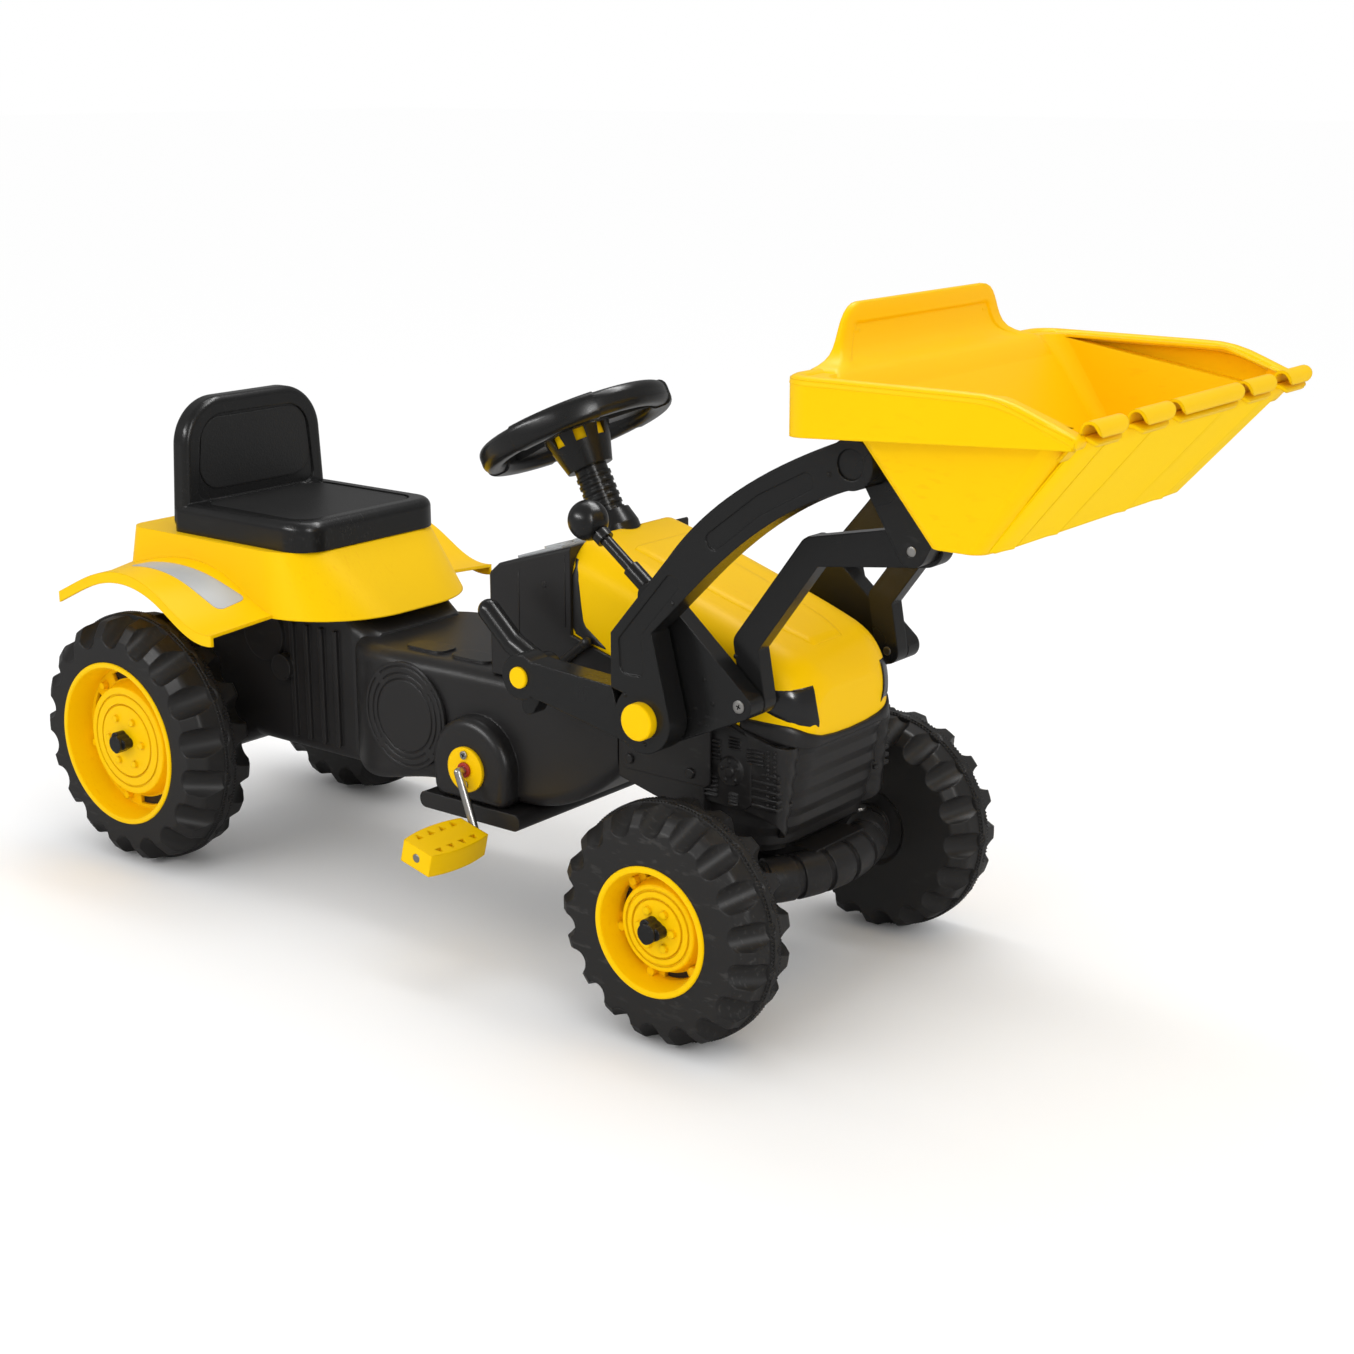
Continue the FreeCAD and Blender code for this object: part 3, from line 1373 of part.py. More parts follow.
def steering_hub():
    """A tapered hub shell below the wheel, with a row of windows round it."""
    top = -spoke_thickness / 2
    low = top - steering_hub_depth
    cone = Part.makeCone(steering_hub_low_radius, steering_hub_radius, steering_hub_depth, Vector(0, 0, low))
    room = Part.makeCylinder(horn_ring_radius + running_fit, horn_window_height + wall,
                             Vector(0, 0, top - horn_window_height - wall))
    windows = []
    for index in range(horn_window_count):
        window = Part.makeBox(steering_hub_radius * 2, horn_window_width, horn_window_height,
                              Vector(0, -horn_window_width / 2, top - horn_window_height - wall / 2))
        window.rotate(Vector(0, 0, 0), Vector(0, 0, 1), index * 360 / horn_window_count)
        windows.append(window)
    bore = Part.makeCylinder(column_radius + running_fit, steering_hub_depth, Vector(0, 0, low))
    return on_column(cone.cut([room, bore] + windows).removeSplitter())


def horn_ring():
    """The yellow ring that shows through the hub's windows."""
    top = -spoke_thickness / 2
    height = horn_window_height + wall
    ring = Part.makeCylinder(horn_ring_radius, height, Vector(0, 0, top - height))
    room = Part.makeCylinder(horn_ring_radius - horn_ring_thickness, height, Vector(0, 0, top - height))
    return on_column(ring.cut(room))


def column_sleeve():
    """The ribbed sleeve round the column, between the hub and the collar."""
    high = -spoke_thickness / 2 - steering_hub_depth
    body = Part.makeCylinder(sleeve_radius, sleeve_length, Vector(0, 0, high - sleeve_length))
    pitch = sleeve_length / (sleeve_rib_count + 1)
    ribs = [Part.makeCylinder(sleeve_radius + sleeve_rib_rise, pitch / 2,
                              Vector(0, 0, high - sleeve_length + pitch * (index + 1 / 2)))
            for index in range(sleeve_rib_count)]
    bore = Part.makeCylinder(column_radius + running_fit, sleeve_length, Vector(0, 0, high - sleeve_length))
    return on_column(body.fuse(ribs).cut(bore).removeSplitter())


def steering_column():
    """The steel column, bent into a crank at its foot."""
    top = column_head + column_up * (spoke_thickness / 2 - seat_gap)
    foot = column_head - column_up * column_drop
    side = foot + column_back * column_crank
    return bent_rod([top, foot, side, side - column_up * column_pin_length], column_radius)


def column_collar(console):
    """The fixed collar where the column enters the console."""
    high = -spoke_thickness / 2 - steering_hub_depth - sleeve_length + collar_height / 3
    skirt = overrun
    cone = Part.makeCone(collar_radius, collar_top_radius, collar_height, Vector(0, 0, high - collar_height))
    foot = Part.makeCylinder(collar_radius, skirt, Vector(0, 0, high - collar_height - skirt))
    room_depth = collar_height / 3 + side_gap
    room = Part.makeCylinder(sleeve_radius + sleeve_rib_rise + side_gap, room_depth,
        Vector(0, 0, high - room_depth))
    under = high - collar_height - skirt
    bearing = Part.makeCylinder(column_channel_radius - seat_gap, skirt, Vector(0, 0, under - skirt))
    bore = Part.makeCylinder(column_radius + running_fit, skirt * 4, Vector(0, 0, under - skirt * 2))
    return on_column(cone.fuse([foot, bearing]).cut([room, bore]).removeSplitter()).cut(console)


# Loader
def from_pivot(shares):
    """A place given as shares of the boom's reach from the loader's pivot."""
    return loader_pivot + Vector(shares[0], 0, shares[1]) * boom_reach


def boom():
    """The left boom: a cranked arm, its rear extension with a round flange, and sunk panels."""
    face = boom_inner_y
    lift = Vector(0, face, 0)
    back = [from_pivot(shares) + lift for shares in boom_back_shares]
    top = [from_pivot(shares) + lift for shares in boom_top_curve_shares]
    low = [from_pivot(shares) + lift for shares in boom_low_curve_shares]
    front = [from_pivot(shares) + lift for shares in boom_front_shares]
    edges = [
        Part.LineSegment(back[0], back[1]).toShape(), Part.LineSegment(back[1], back[2]).toShape(),
        curve(top),
        Part.LineSegment(top[-1], low[0]).toShape(), curve(low),
        Part.LineSegment(low[-1], front[0]).toShape(),
        Part.LineSegment(front[0], front[1]).toShape(), Part.LineSegment(front[1], back[0]).toShape()]
    arm = Part.Face(Part.Wire(edges)).extrude(Vector(0, boom_thickness, 0))
    reach = [from_pivot(shares) for shares in boom_ext_high_shares + boom_ext_low_shares]
    extension = slab([(point.x, point.z, 0) for point in reach], face, boom_outer_y)
    pieces = [
        extension, cylinder_y(loader_pivot, boom_pivot_radius, face, boom_outer_y),
        cylinder_y(bucket_pivot, boom_end_radius, face, boom_outer_y),
        cylinder_y(flange_place, boom_flange_radius, face, boom_outer_y)]
    cuts = [cylinder_y(loader_pivot, pivot_radius + running_fit, 0, boom_outer_y + overrun),
            cylinder_y(bucket_pivot, boom_pin_radius + running_fit, 0, boom_outer_y + overrun),
            cylinder_y(bucket_pivot, boom_pin_head_radius + running_fit, boom_outer_y - boom_pin_head_depth,
                       boom_outer_y + overrun)]
    for panel in (boom_panel_shares, boom_upper_panel_shares):
        places = [from_pivot(shares) for shares in panel]
        cuts.append(slab([(point.x, point.z, boom_panel_round) for point in places],
            boom_outer_y - boom_panel_depth,
                         boom_outer_y + overrun))
    return arm.fuse(pieces).cut(cuts).removeSplitter()


def pivot_shaft():
    """The steel shaft that carries both booms and the tilt plates."""
    return cylinder_y(loader_pivot, pivot_radius, -boom_outer_y, boom_outer_y)


def pivot_caps():
    """The yellow caps on the shaft's ends and on the rear flanges."""
    caps = []
    for place, radius, proud in (
            (loader_pivot, cap_radius, cap_proud), (flange_place, small_cap_radius, small_cap_proud)):
        cap = cylinder_y(place, radius, boom_outer_y, boom_outer_y + proud)
        rims = [edge for edge in cap.Edges if edge.BoundBox.YMin > boom_outer_y + proud / 2]
        cap = cap.makeFillet(cap_round, rims)
        caps.extend((cap, mirrored(cap)))
    return Part.makeCompound(caps)


def loader_grip():
    """The left hand grip, seated on the inner face of the boom's rear flange, with a short tail."""
    outer = boom_inner_y
    middle = outer - grip_disc_thickness / 2
    hub = Vector(flange_place.x, middle, flange_place.z)
    bend = hub + Vector(grip_bend_shares[0], 0, grip_bend_shares[1]) * boom_reach
    end = hub + Vector(grip_end_shares[0], 0, grip_end_shares[1]) * boom_reach
    tail = hub + Vector(grip_tail_shares[0], 0, grip_tail_shares[1]) * boom_reach
    bar_y = Vector(0, outer - middle - grip_radius, 0)
    handle = bent_rod([hub + bar_y, bend + bar_y, end + bar_y], grip_radius)
    disc = cylinder_y(flange_place, grip_disc_radius, outer - grip_disc_thickness, outer)
    tail_bar = web(((flange_place.x, flange_place.z, grip_disc_radius), (tail.x, tail.z, grip_tail_radius)),
                   outer - grip_disc_thickness, outer)
    return handle.fuse([disc, tail_bar, Part.makeSphere(grip_radius, end + bar_y)]).removeSplitter()


def loader_bracket(housing):
    """The left bearing bracket on the housing's side."""
    face = housing_half_width
    back = pivot_x - bracket_length
    plate = slab(rectangle(
        back, pivot_x + bracket_boss_radius, bracket_low, pivot_z + bracket_boss_radius, bracket_round),
        face, face + bracket_thickness)
    boss = cylinder_y(loader_pivot, bracket_boss_radius, face, plate_inner_y - seat_gap)
    bore = cylinder_y(loader_pivot, pivot_radius + running_fit, 0, plate_outer_y)
    return plate.fuse(boss).cut(bore).removeSplitter().cut(housing)


def tilt_plate():
    """The left tilt plate: a three-cornered bell crank on the pivot shaft."""
    tip = plate_tip
    socket = from_pivot(plate_socket_shares)
    body = web(((loader_pivot.x, loader_pivot.z, plate_pivot_radius), (tip.x, tip.z, plate_tip_radius),
                (socket.x, socket.z, plate_socket_radius)), plate_inner_y, plate_outer_y)
    return body.cut([cylinder_y(loader_pivot, pivot_radius + running_fit, 0, plate_outer_y + overrun),
                     cylinder_y(tip, link_pin_radius + running_fit, 0, plate_outer_y + overrun)])


def lever_places():
    """The right lever's foot and ball, in the middle of the tilt plate's thickness."""
    middle = Vector(0, -(plate_inner_y + plate_thickness / 2), 0)
    return from_pivot(plate_socket_shares) + middle, from_pivot(lever_ball_shares) + middle


def lever_rod(plates):
    """The hand lever's bar and ferrule, plugged into the right tilt plate."""
    foot, ball = lever_places()
    along = (ball - foot).normalize()
    bar = rod(foot, ball - along * ball_radius, lever_rod_radius)
    ferrule = rod(foot, foot + along * (plate_socket_radius + ferrule_length), ferrule_radius)
    return bar.fuse(ferrule).removeSplitter().cut(plates)


def ball_knob():
    """The round knob on the lever, with a short neck."""
    foot, ball = lever_places()
    along = (ball - foot).normalize()
    neck = rod(ball - along * (ball_radius + ball_neck_length), ball, ball_neck_radius)
    bore = rod(foot, ball - along * ball_radius, lever_rod_radius + running_fit)
    return Part.makeSphere(ball_radius, ball).fuse(neck).cut(bore).removeSplitter()


def tilt_link():
    """The left link: a bar with two knees from the tilt plate's tip to the bucket."""
    places = [plate_tip] + [plate_tip + Vector(shares[0], 0,
        shares[1]) * boom_reach for shares in link_knee_shares]
    places.append(link_end)
    radii = [link_half_width, link_half_width, link_half_width, link_end_radius]
    runs = []
    for index in range(len(places) - 1):
        runs.append(web(((places[index].x, places[index].z, radii[index]),
                         (places[index + 1].x, places[index + 1].z, radii[index + 1])), link_inner_y,
                         link_outer_y))
    cuts = [cylinder_y(plate_tip, link_pin_radius + running_fit, 0, link_outer_y + overrun),
            cylinder_y(link_end, link_pin_radius + link_pin_room, 0, link_outer_y + overrun)]
    return runs[0].fuse(runs[1:]).cut(cuts).removeSplitter()


def link_pin():
    """The left screw pin through the tilt plate's tip and the link's eye."""
    shank = cylinder_y(plate_tip, link_pin_radius, link_inner_y, plate_outer_y)
    head = cylinder_y(plate_tip, link_pin_radius + side_gap, plate_outer_y, plate_outer_y + link_pin_head)
    return shank.fuse(head).removeSplitter()


def boom_pin():
    """The left pin at the boom's end, with its slotted head sunk in the boom."""
    shank = cylinder_y(bucket_pivot, boom_pin_radius, plate_inner_y, boom_outer_y - boom_pin_head_depth)
    head = cylinder_y(bucket_pivot, boom_pin_head_radius, boom_outer_y - boom_pin_head_depth,
        boom_outer_y - side_gap)
    return shank.fuse(head).removeSplitter()


def bucket_pin():
    """The left pin that ties the bucket's bracket to the link."""
    return cylinder_y(link_end, link_pin_radius, link_inner_y, plate_outer_y)


# Bucket
def bucket_block(inset, rise):
    """The tub's body; an inset makes its inside, which a rise carries above the rim."""
    low_z = bucket_low + inset
    low = rounded(rectangle(bucket_floor_back + inset, bucket_floor_front - inset, inset - bucket_half_low,
                            bucket_half_low - inset, bucket_corner_low - inset), flat_z(low_z))
    back = Vector(bucket_back, 0, bucket_back_high)
    lip = Vector(bucket_lip_x, 0, bucket_lip_z)
    back_out = (back - Vector(bucket_floor_back, 0, bucket_low)).normalize()
    lip_out = (lip - Vector(bucket_floor_front, 0, bucket_low)).normalize()
    back_in = Vector(back_out.z, 0, -back_out.x)
    lip_in = Vector(-lip_out.z, 0, lip_out.x)
    back = back + back_in * inset + back_out * rise
    lip = lip + lip_in * inset + lip_out * rise
    run = lip - back

    def place(u, v):
        spot = back + run * u
        return Vector(spot.x, v, spot.z)

    corner = (bucket_corner_high - inset) / run.Length
    half_back = bucket_half_back - inset
    half_lip = bucket_half_lip - inset
    points = [(0, -half_back), (1, -half_lip), (1, half_lip), (0, half_back)]
    cut_points = []
    for index in range(4):
        here = Vector(points[index][0], points[index][1], 0)
        for other in (points[index - 1], points[(index + 1) % 4]):
            toward = Vector(other[0], other[1], 0) - here
            share = corner if abs(toward.x) > 1 / 2 else (bucket_corner_high - inset) / abs(toward.y)
            cut_points.append((here + toward * share, here))
    edges = []
    for index in range(4):
        start, here = cut_points[index * 2]
        end = cut_points[index * 2 + 1][0]
        middle = here * corner_pull_share + (start + end) * ((1 - corner_pull_share) / 2)
        edges.append(Part.Arc(place(start.x, start.y), place(middle.x, middle.y),
            place(end.x, end.y)).toShape())
        following = cut_points[(index * 2 + 2) % 8][0]
        edges.append(Part.LineSegment(place(end.x, end.y), place(following.x, following.y)).toShape())
    return Part.makeLoft([low, Part.Wire(edges)], True, True)


def rim_block(inset):
    """The bucket's rim seen from the side and from above; an inset makes the room under it."""
    top = bucket_back_high - inset
    tip = rim_tip_z - inset
    front = rim_tip_x + inset * 4
    low = rim_skirt_low - inset * overrun
    profile = slab(((rim_back + inset, low, 0), (front, tip - rim_tip_depth - inset * overrun, 0),
        (front, tip, 0),
                    (rim_level_end, top, rim_corner), (rim_back + inset, top, 0)), -rim_half_width,
                    rim_half_width)
    plan = Part.Face(rounded(((rim_back + inset, inset - rim_half_width, rim_corner - inset),
                              (front, inset - rim_half_width, 0), (front, rim_half_width - inset, 0),
                              (rim_back + inset, rim_half_width - inset, rim_corner - inset)),
                             flat_z(0))).extrude(Vector(0, 0, bucket_back_high * 2))
    return profile.common(plan)


def guard_plate():
    """The raised back guard above the bucket's rim."""
    base = rim_skirt_low + guard_corner
    points = ((-guard_base_half, base, 0), (guard_base_half, base, 0),
        (guard_base_half, bucket_back_high, guard_corner),
              (guard_top_half, bucket_back_high + guard_corner, guard_corner),
              (guard_top_half, guard_top, guard_corner), (-guard_top_half, guard_top, guard_corner),
              (-guard_top_half, bucket_back_high + guard_corner, guard_corner),
              (-guard_base_half, bucket_back_high, guard_corner))
    plate = Part.Face(rounded(points, flat_x(rim_back))).extrude(Vector(guard_plate_thickness, 0, 0))
    inset = guard_panel_inset
    panel = Part.Face(rounded(rectangle(
        inset - guard_top_half, guard_top_half - inset, bucket_back_high + inset / 2, guard_top - inset,
        inset / 2),
        flat_x(rim_back + guard_plate_thickness - guard_panel_depth))).extrude(Vector(overrun, 0, 0))
    return plate.cut(panel)


def front_panel():
    """The bucket's front panel: its lower edge, its lip, the way up it and the way out of it."""
    floor = Vector(bucket_floor_front, 0, bucket_low)
    lip = Vector(bucket_lip_x, 0, bucket_lip_z)
    slope = (lip - floor).normalize()
    return floor, lip, slope, Vector(slope.z, 0, -slope.x)


def lip_tooth(y_from, y_to):
    """A tongue of the lip that curls outward and over, with round outer corners."""
    floor, lip, slope, outward = front_panel()
    root = lip - slope * tooth_root
    bend = lip + slope * tooth_reach
    centre = bend + outward * tooth_curl_radius
    outline = []
    near = tooth_curl_radius - tooth_proud
    for radius in (near + tooth_thickness, near):
        ray = [math.radians(tooth_curl_degrees * part) for part in (0, 1 / 2, 1)]
        outline.append([centre + (slope * math.sin(turn) - outward * math.cos(turn)) * radius for turn in ray])
    outer, inner = outline
    edges = [
        Part.LineSegment(root + outward * (tooth_proud - tooth_thickness), outer[0]).toShape(),
        Part.Arc(*outer).toShape(), Part.LineSegment(outer[2], inner[2]).toShape(),
        Part.Arc(*inner[::-1]).toShape(),
        Part.LineSegment(inner[0], root + outward * tooth_proud).toShape(),
        Part.LineSegment(root + outward * tooth_proud,
        root + outward * (tooth_proud - tooth_thickness)).toShape()]
    tooth = moved(Part.Face(Part.Wire(edges)), Vector(0, y_from, 0)).extrude(Vector(0, y_to - y_from, 0))
    over = tooth_curl_radius - near * math.cos(math.radians(tooth_curl_degrees)) - tooth_proud
    back = -overrun
    plan = rounded(((y_from, back, 0), (y_to, back, 0), (y_to, over, tooth_round),
        (y_from, over, tooth_round)),
                   lambda u, v: root - slope * side_gap + Vector(0, u, 0) + outward * v)
    height = tooth_root + tooth_reach + tooth_curl_radius + tooth_thickness
    return tooth.common(Part.Face(plan).extrude(slope * (height + side_gap * 2)))


def panel_step(low_share, high_share):
    """A shallow wedge cut up the front panel, which leaves a step beside it."""
    floor, lip, slope, outward = front_panel()
    ends = []
    for place, half_width, share in (
            (floor + slope * bucket_corner_low, bucket_half_low, low_share),
            (lip - slope * step_end_gap, bucket_half_lip, high_share)):
        side = Vector(0, math.copysign(step_width, share), 0)
        middle = place + Vector(0, half_width * share, 0)
        corners = [middle - outward * step_depth, middle + outward * step_depth,
            middle + side + outward * step_depth]
        ends.append(Part.makePolygon(corners + corners[:1]))
    return Part.makeLoft(ends, True, True)


def bucket():
    """The loader bucket: a tapered tub with a turned-down rim, a back guard, panel steps and lip teeth."""
    inside = bucket_block(bucket_wall, bucket_mouth_rise)
    tub = bucket_block(0, 0)
    rim_shell = rim_block(0).cut(rim_block(bucket_wall))
    body = tub.fuse([rim_shell, guard_plate()])
    teeth = [lip_tooth(bucket_half_lip * near, bucket_half_lip * far) for near, far in tooth_side_shares]
    steps = [panel_step(low_share, high_share) for low_share, high_share in step_place_shares]
    return body.cut([inside] + steps).fuse(teeth).removeSplitter()


def bucket_bracket():
    """The left bracket on the bucket's back wall, with the boom's eye and the link's eye."""
    high = bucket_pivot + Vector(bracket_wall_top_shares[0], 0, bracket_wall_top_shares[1]) * boom_reach
    low = bucket_pivot + Vector(bracket_wall_low_shares[0], 0, bracket_wall_low_shares[1]) * boom_reach
    body = web(((link_end.x, link_end.z, bracket_link_radius), (low.x, low.z, bracket_link_radius),
                (high.x, high.z, bracket_link_radius), (bucket_pivot.x, bucket_pivot.z, bracket_ear_radius)),
               plate_inner_y, plate_outer_y)
    return body.cut([bucket_block(0, overrun),
        cylinder_y(bucket_pivot, boom_pin_radius + running_fit, 0, boom_outer_y),
                     cylinder_y(link_end, link_pin_radius + running_fit, 0, boom_outer_y)])


# Small fasteners
def housing_screws():
    """The pan-head screws on the crank's bearing plates and on the loader's brackets."""
    screws = []
    plate_face = crank_boss_face + bearing_plate_thickness
    for up in (-1, 1):
        screws.append(screw(Vector(crank_x, plate_face, crank_z + up * bearing_screw_circle),
            Vector(0, 1, 0)))
    bracket_face = housing_half_width + bracket_thickness
    for x in (pivot_x - bracket_length + bracket_screw_inset, pivot_x):
        screws.append(screw(Vector(x, bracket_face, bracket_low + bracket_screw_inset), Vector(0, 1, 0)))
    return Part.makeCompound(screws + [mirrored(piece) for piece in screws])


def build():
    """Every node of the toy, by name."""
    nodes = {}
    hull = chassis_hull()
    nodes["chassis_hull"] = hull
    nodes["bottom_guard"] = bottom_guard(hull)
    nodes["side_covers"] = both_sides(side_cover())
    nodes["crank_bearings"] = both_sides(bearing_plate())
    nodes["crank_bushes"] = both_sides(crank_bush())
    nodes["axle_bushes"] = both_sides(axle_bush(hull))
    nodes["housing_screws"] = housing_screws()
    nodes["crankshaft"] = crankshaft()
    chain_wheel = sprocket(crank_teeth, crank_rod_radius)
    nodes["crank_sprocket"] = moved(chain_wheel, crank_place + Vector(0, chain_y, 0))
    axle_wheel = sprocket(axle_teeth, axle_radius)
    nodes["axle_sprocket"] = moved(axle_wheel, rear_axle + Vector(0, chain_y, 0))
    nodes["drive_chain"] = drive_chain()
    block = spun_y(pedal(), pedal_pitch_degrees)
    nodes["pedal_left"] = moved(block, crank_place - pedal_offset)
    nodes["pedal_right"] = moved(mirrored(block), crank_place + pedal_offset)

    axle_end = rear_tyre_middle + hub_cap_bore_end(rear_tyre_width)
    nodes["rear_axle"] = cylinder_y(rear_axle, axle_radius, -axle_end, axle_end)
    for end, radius, width, rim_radius, middle, axle in (
            ("rear", rear_tyre_radius, rear_tyre_width, rear_rim_radius, rear_tyre_middle, rear_axle),
            ("front", front_tyre_radius, front_tyre_width, front_rim_radius, front_tyre_middle, front_axle)):
        for name, piece in zip(("tyre", "rim", "hub_cap"),
                wheel_set(radius, width, rim_radius, middle, axle)):
            nodes[f"{end}_left_{name}"] = piece
            nodes[f"{end}_right_{name}"] = mirrored(piece)

    nodes["seat_platform"] = seat_platform()
    nodes["seat"] = seat()
    shell = hood()
    nodes["hood"] = shell
    nodes["headlights"] = both_sides(headlight(shell))
    console = dashboard()
    nodes["dashboard"] = console
    nodes["instrument_plate"] = instrument_plate()
    housing = engine_housing()
    nodes["engine_housing"] = housing
    nodes["front_bumper"] = front_bumper(housing)
    nodes["front_axle_beam"] = front_axle_beam()
    nodes["kingpins"] = both_sides(kingpin())
    left_knuckle = knuckle()
    nodes["knuckle_left"] = left_knuckle
    nodes["knuckle_right"] = mirrored(left_knuckle)
    nodes["tie_rod"] = tie_rod()
    nodes["steering_wheel"] = steering_wheel()
    nodes["steering_hub"] = steering_hub()
    nodes["horn_ring"] = horn_ring()
    nodes["column_sleeve"] = column_sleeve()
    nodes["steering_column"] = steering_column()
    nodes["column_collar"] = column_collar(console)

    left_boom = boom()
    nodes["boom_left"] = left_boom
    nodes["boom_right"] = mirrored(left_boom)
    nodes["pivot_shaft"] = pivot_shaft()
    nodes["pivot_caps"] = pivot_caps()
    nodes["loader_grips"] = both_sides(loader_grip())
    nodes["loader_brackets"] = both_sides(loader_bracket(housing))
    plates = both_sides(tilt_plate())
    nodes["tilt_plates"] = plates
    nodes["lever_rod"] = lever_rod(plates)
    nodes["ball_knob"] = ball_knob()
    nodes["tilt_links"] = both_sides(tilt_link())
    nodes["link_pins"] = both_sides(link_pin())
    nodes["boom_pins"] = both_sides(boom_pin())
    nodes["bucket_pins"] = both_sides(bucket_pin())
    nodes["bucket"] = bucket()
    nodes["bucket_brackets"] = both_sides(bucket_bracket())
    return nodes


nodes = build()
boxes = [shape.optimalBoundingBox(False, False) for shape in nodes.values()]
middle_x = (min(box.XMin for box in boxes) + max(box.XMax for box in boxes)) / 2
os.makedirs("parts", exist_ok=True)
for name, shape in nodes.items():
    moved(shape, Vector(-middle_x, 0, 0)).exportStep(f"parts/{name}.step")
    if not shape.isValid():
        print("not valid:", name)
    print(name, len(shape.Solids), "solids", round(shape.Volume / 1000), "cm3")
print("origin lies", round(middle_x, 3), "mm ahead of the rear axle")
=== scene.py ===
# %% [markdown]
# # A ride-on pedal tractor with a front loader
# The tractor is a toy of hard moulded plastic: a black body, a yellow hood, seat deck and wheel discs,
# and a loader with black arms and a yellow bucket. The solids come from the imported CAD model, which is
# already in metres and in its own frame. This lesson gives each solid its finish, adds the fine things
# that moulds and screwdrivers leave on such a toy, and photographs it in a plain studio.

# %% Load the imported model
import json
import math

import bmesh
import bpy
from mathutils import Matrix, Vector
from mathutils.bvhtree import BVHTree

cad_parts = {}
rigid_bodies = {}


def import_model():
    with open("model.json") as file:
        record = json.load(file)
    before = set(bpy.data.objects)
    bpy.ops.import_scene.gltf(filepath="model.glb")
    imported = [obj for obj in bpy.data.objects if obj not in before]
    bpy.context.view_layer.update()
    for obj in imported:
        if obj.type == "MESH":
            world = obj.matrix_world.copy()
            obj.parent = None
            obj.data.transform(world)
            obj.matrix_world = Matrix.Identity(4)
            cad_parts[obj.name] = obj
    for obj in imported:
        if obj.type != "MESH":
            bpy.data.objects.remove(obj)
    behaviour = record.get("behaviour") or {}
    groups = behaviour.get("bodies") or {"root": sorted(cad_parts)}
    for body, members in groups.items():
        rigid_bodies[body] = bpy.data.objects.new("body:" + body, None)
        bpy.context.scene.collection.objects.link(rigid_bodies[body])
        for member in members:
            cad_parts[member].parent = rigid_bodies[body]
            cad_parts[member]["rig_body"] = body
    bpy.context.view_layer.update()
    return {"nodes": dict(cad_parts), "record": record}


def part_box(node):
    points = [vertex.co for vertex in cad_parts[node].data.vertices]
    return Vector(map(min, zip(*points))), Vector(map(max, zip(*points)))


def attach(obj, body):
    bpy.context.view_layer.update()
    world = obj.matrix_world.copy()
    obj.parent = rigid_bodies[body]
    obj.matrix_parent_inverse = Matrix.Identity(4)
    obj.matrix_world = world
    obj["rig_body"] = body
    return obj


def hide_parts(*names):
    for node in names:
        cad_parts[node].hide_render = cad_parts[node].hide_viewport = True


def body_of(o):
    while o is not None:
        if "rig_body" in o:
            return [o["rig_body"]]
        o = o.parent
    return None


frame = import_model()
nodes = frame["nodes"]

# %% [markdown]
# ## Camera
# The picture was taken from the tractor's front right, a little above the hood. A real camera is
# described by where it stands, what it points at and its angle of view, so the same three things are set
# here. The point it looks at is measured from the rear axle, because the wheels are what the viewpoint
# was worked out from.

# %% Camera at the photograph's viewpoint
scene = bpy.context.scene


def put_in_scene(name, data):
    """A new object that shows a mesh, a lamp or a camera."""
    thing = bpy.data.objects.new(name, data)
    scene.collection.objects.link(thing)
    return thing


def point_along(thing, direction):
    """Turns a camera or a lamp so that it points along a direction."""
    thing.rotation_mode = "QUATERNION"
    thing.rotation_quaternion = direction.to_track_quat("-Z", "Y")


axle_low, axle_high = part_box("rear_axle")
rear_axle = (axle_low + axle_high) / 2
look_at = Vector((rear_axle.x + 0.722, 0.0, 0.3233))
azimuth, elevation, distance = math.radians(37.91), math.radians(15.72), 2.4635
level_reach = math.cos(elevation)
backward = Vector((math.sin(azimuth) * level_reach, -math.cos(azimuth) * level_reach, math.sin(elevation)))
camera_data = bpy.data.cameras.new("studio_camera")
camera_data.sensor_width = 36.0
camera_data.lens = 57.526
camera_data.clip_end = 100.0
camera = put_in_scene("studio_camera", camera_data)
camera.location = look_at + backward * distance
point_along(camera, -backward)
scene.camera = camera
print("camera at", [round(value, 3) for value in camera.location])

# %% [markdown]
# ## Node helpers
# A material is a small network of nodes. An input of a node holds a plain value, or it is fed by the
# output of another node. Two helpers write such networks in few lines, and a third gives a colour its
# full cover.

# %% Helpers that build node networks
def feed(tree, node, feeds):
    """Gives a node's inputs their values, or links them to the outputs of other nodes."""
    for title, source in feeds.items():
        if isinstance(source, bpy.types.NodeSocket):
            tree.links.new(source, node.inputs[title])
        else:
            node.inputs[title].default_value = source


def add_node(tree, kind, feeds=None, **settings):
    """A new node with its settings and feeds."""
    node = tree.nodes.new(kind)
    for title, value in settings.items():
        setattr(node, title, value)
    feed(tree, node, feeds or {})
    return node


def opaque(red, green, blue):
    """A colour with full cover, as a colour input takes it."""
    return (red, green, blue, 1.0)


print("the node helpers are ready")

# %% [markdown]
# ## Floor and tent
# The toy stands on a white sweep under an even, bright tent, so its colours come out as they are and the
# floor only darkens where the wheels and the body keep the light away. The tent is white to the camera.
# Glossy surfaces see the tent and the floor dimmer than they are, as if a photographer had hung black
# cloth beside the toy: that keeps the black plastic deep.

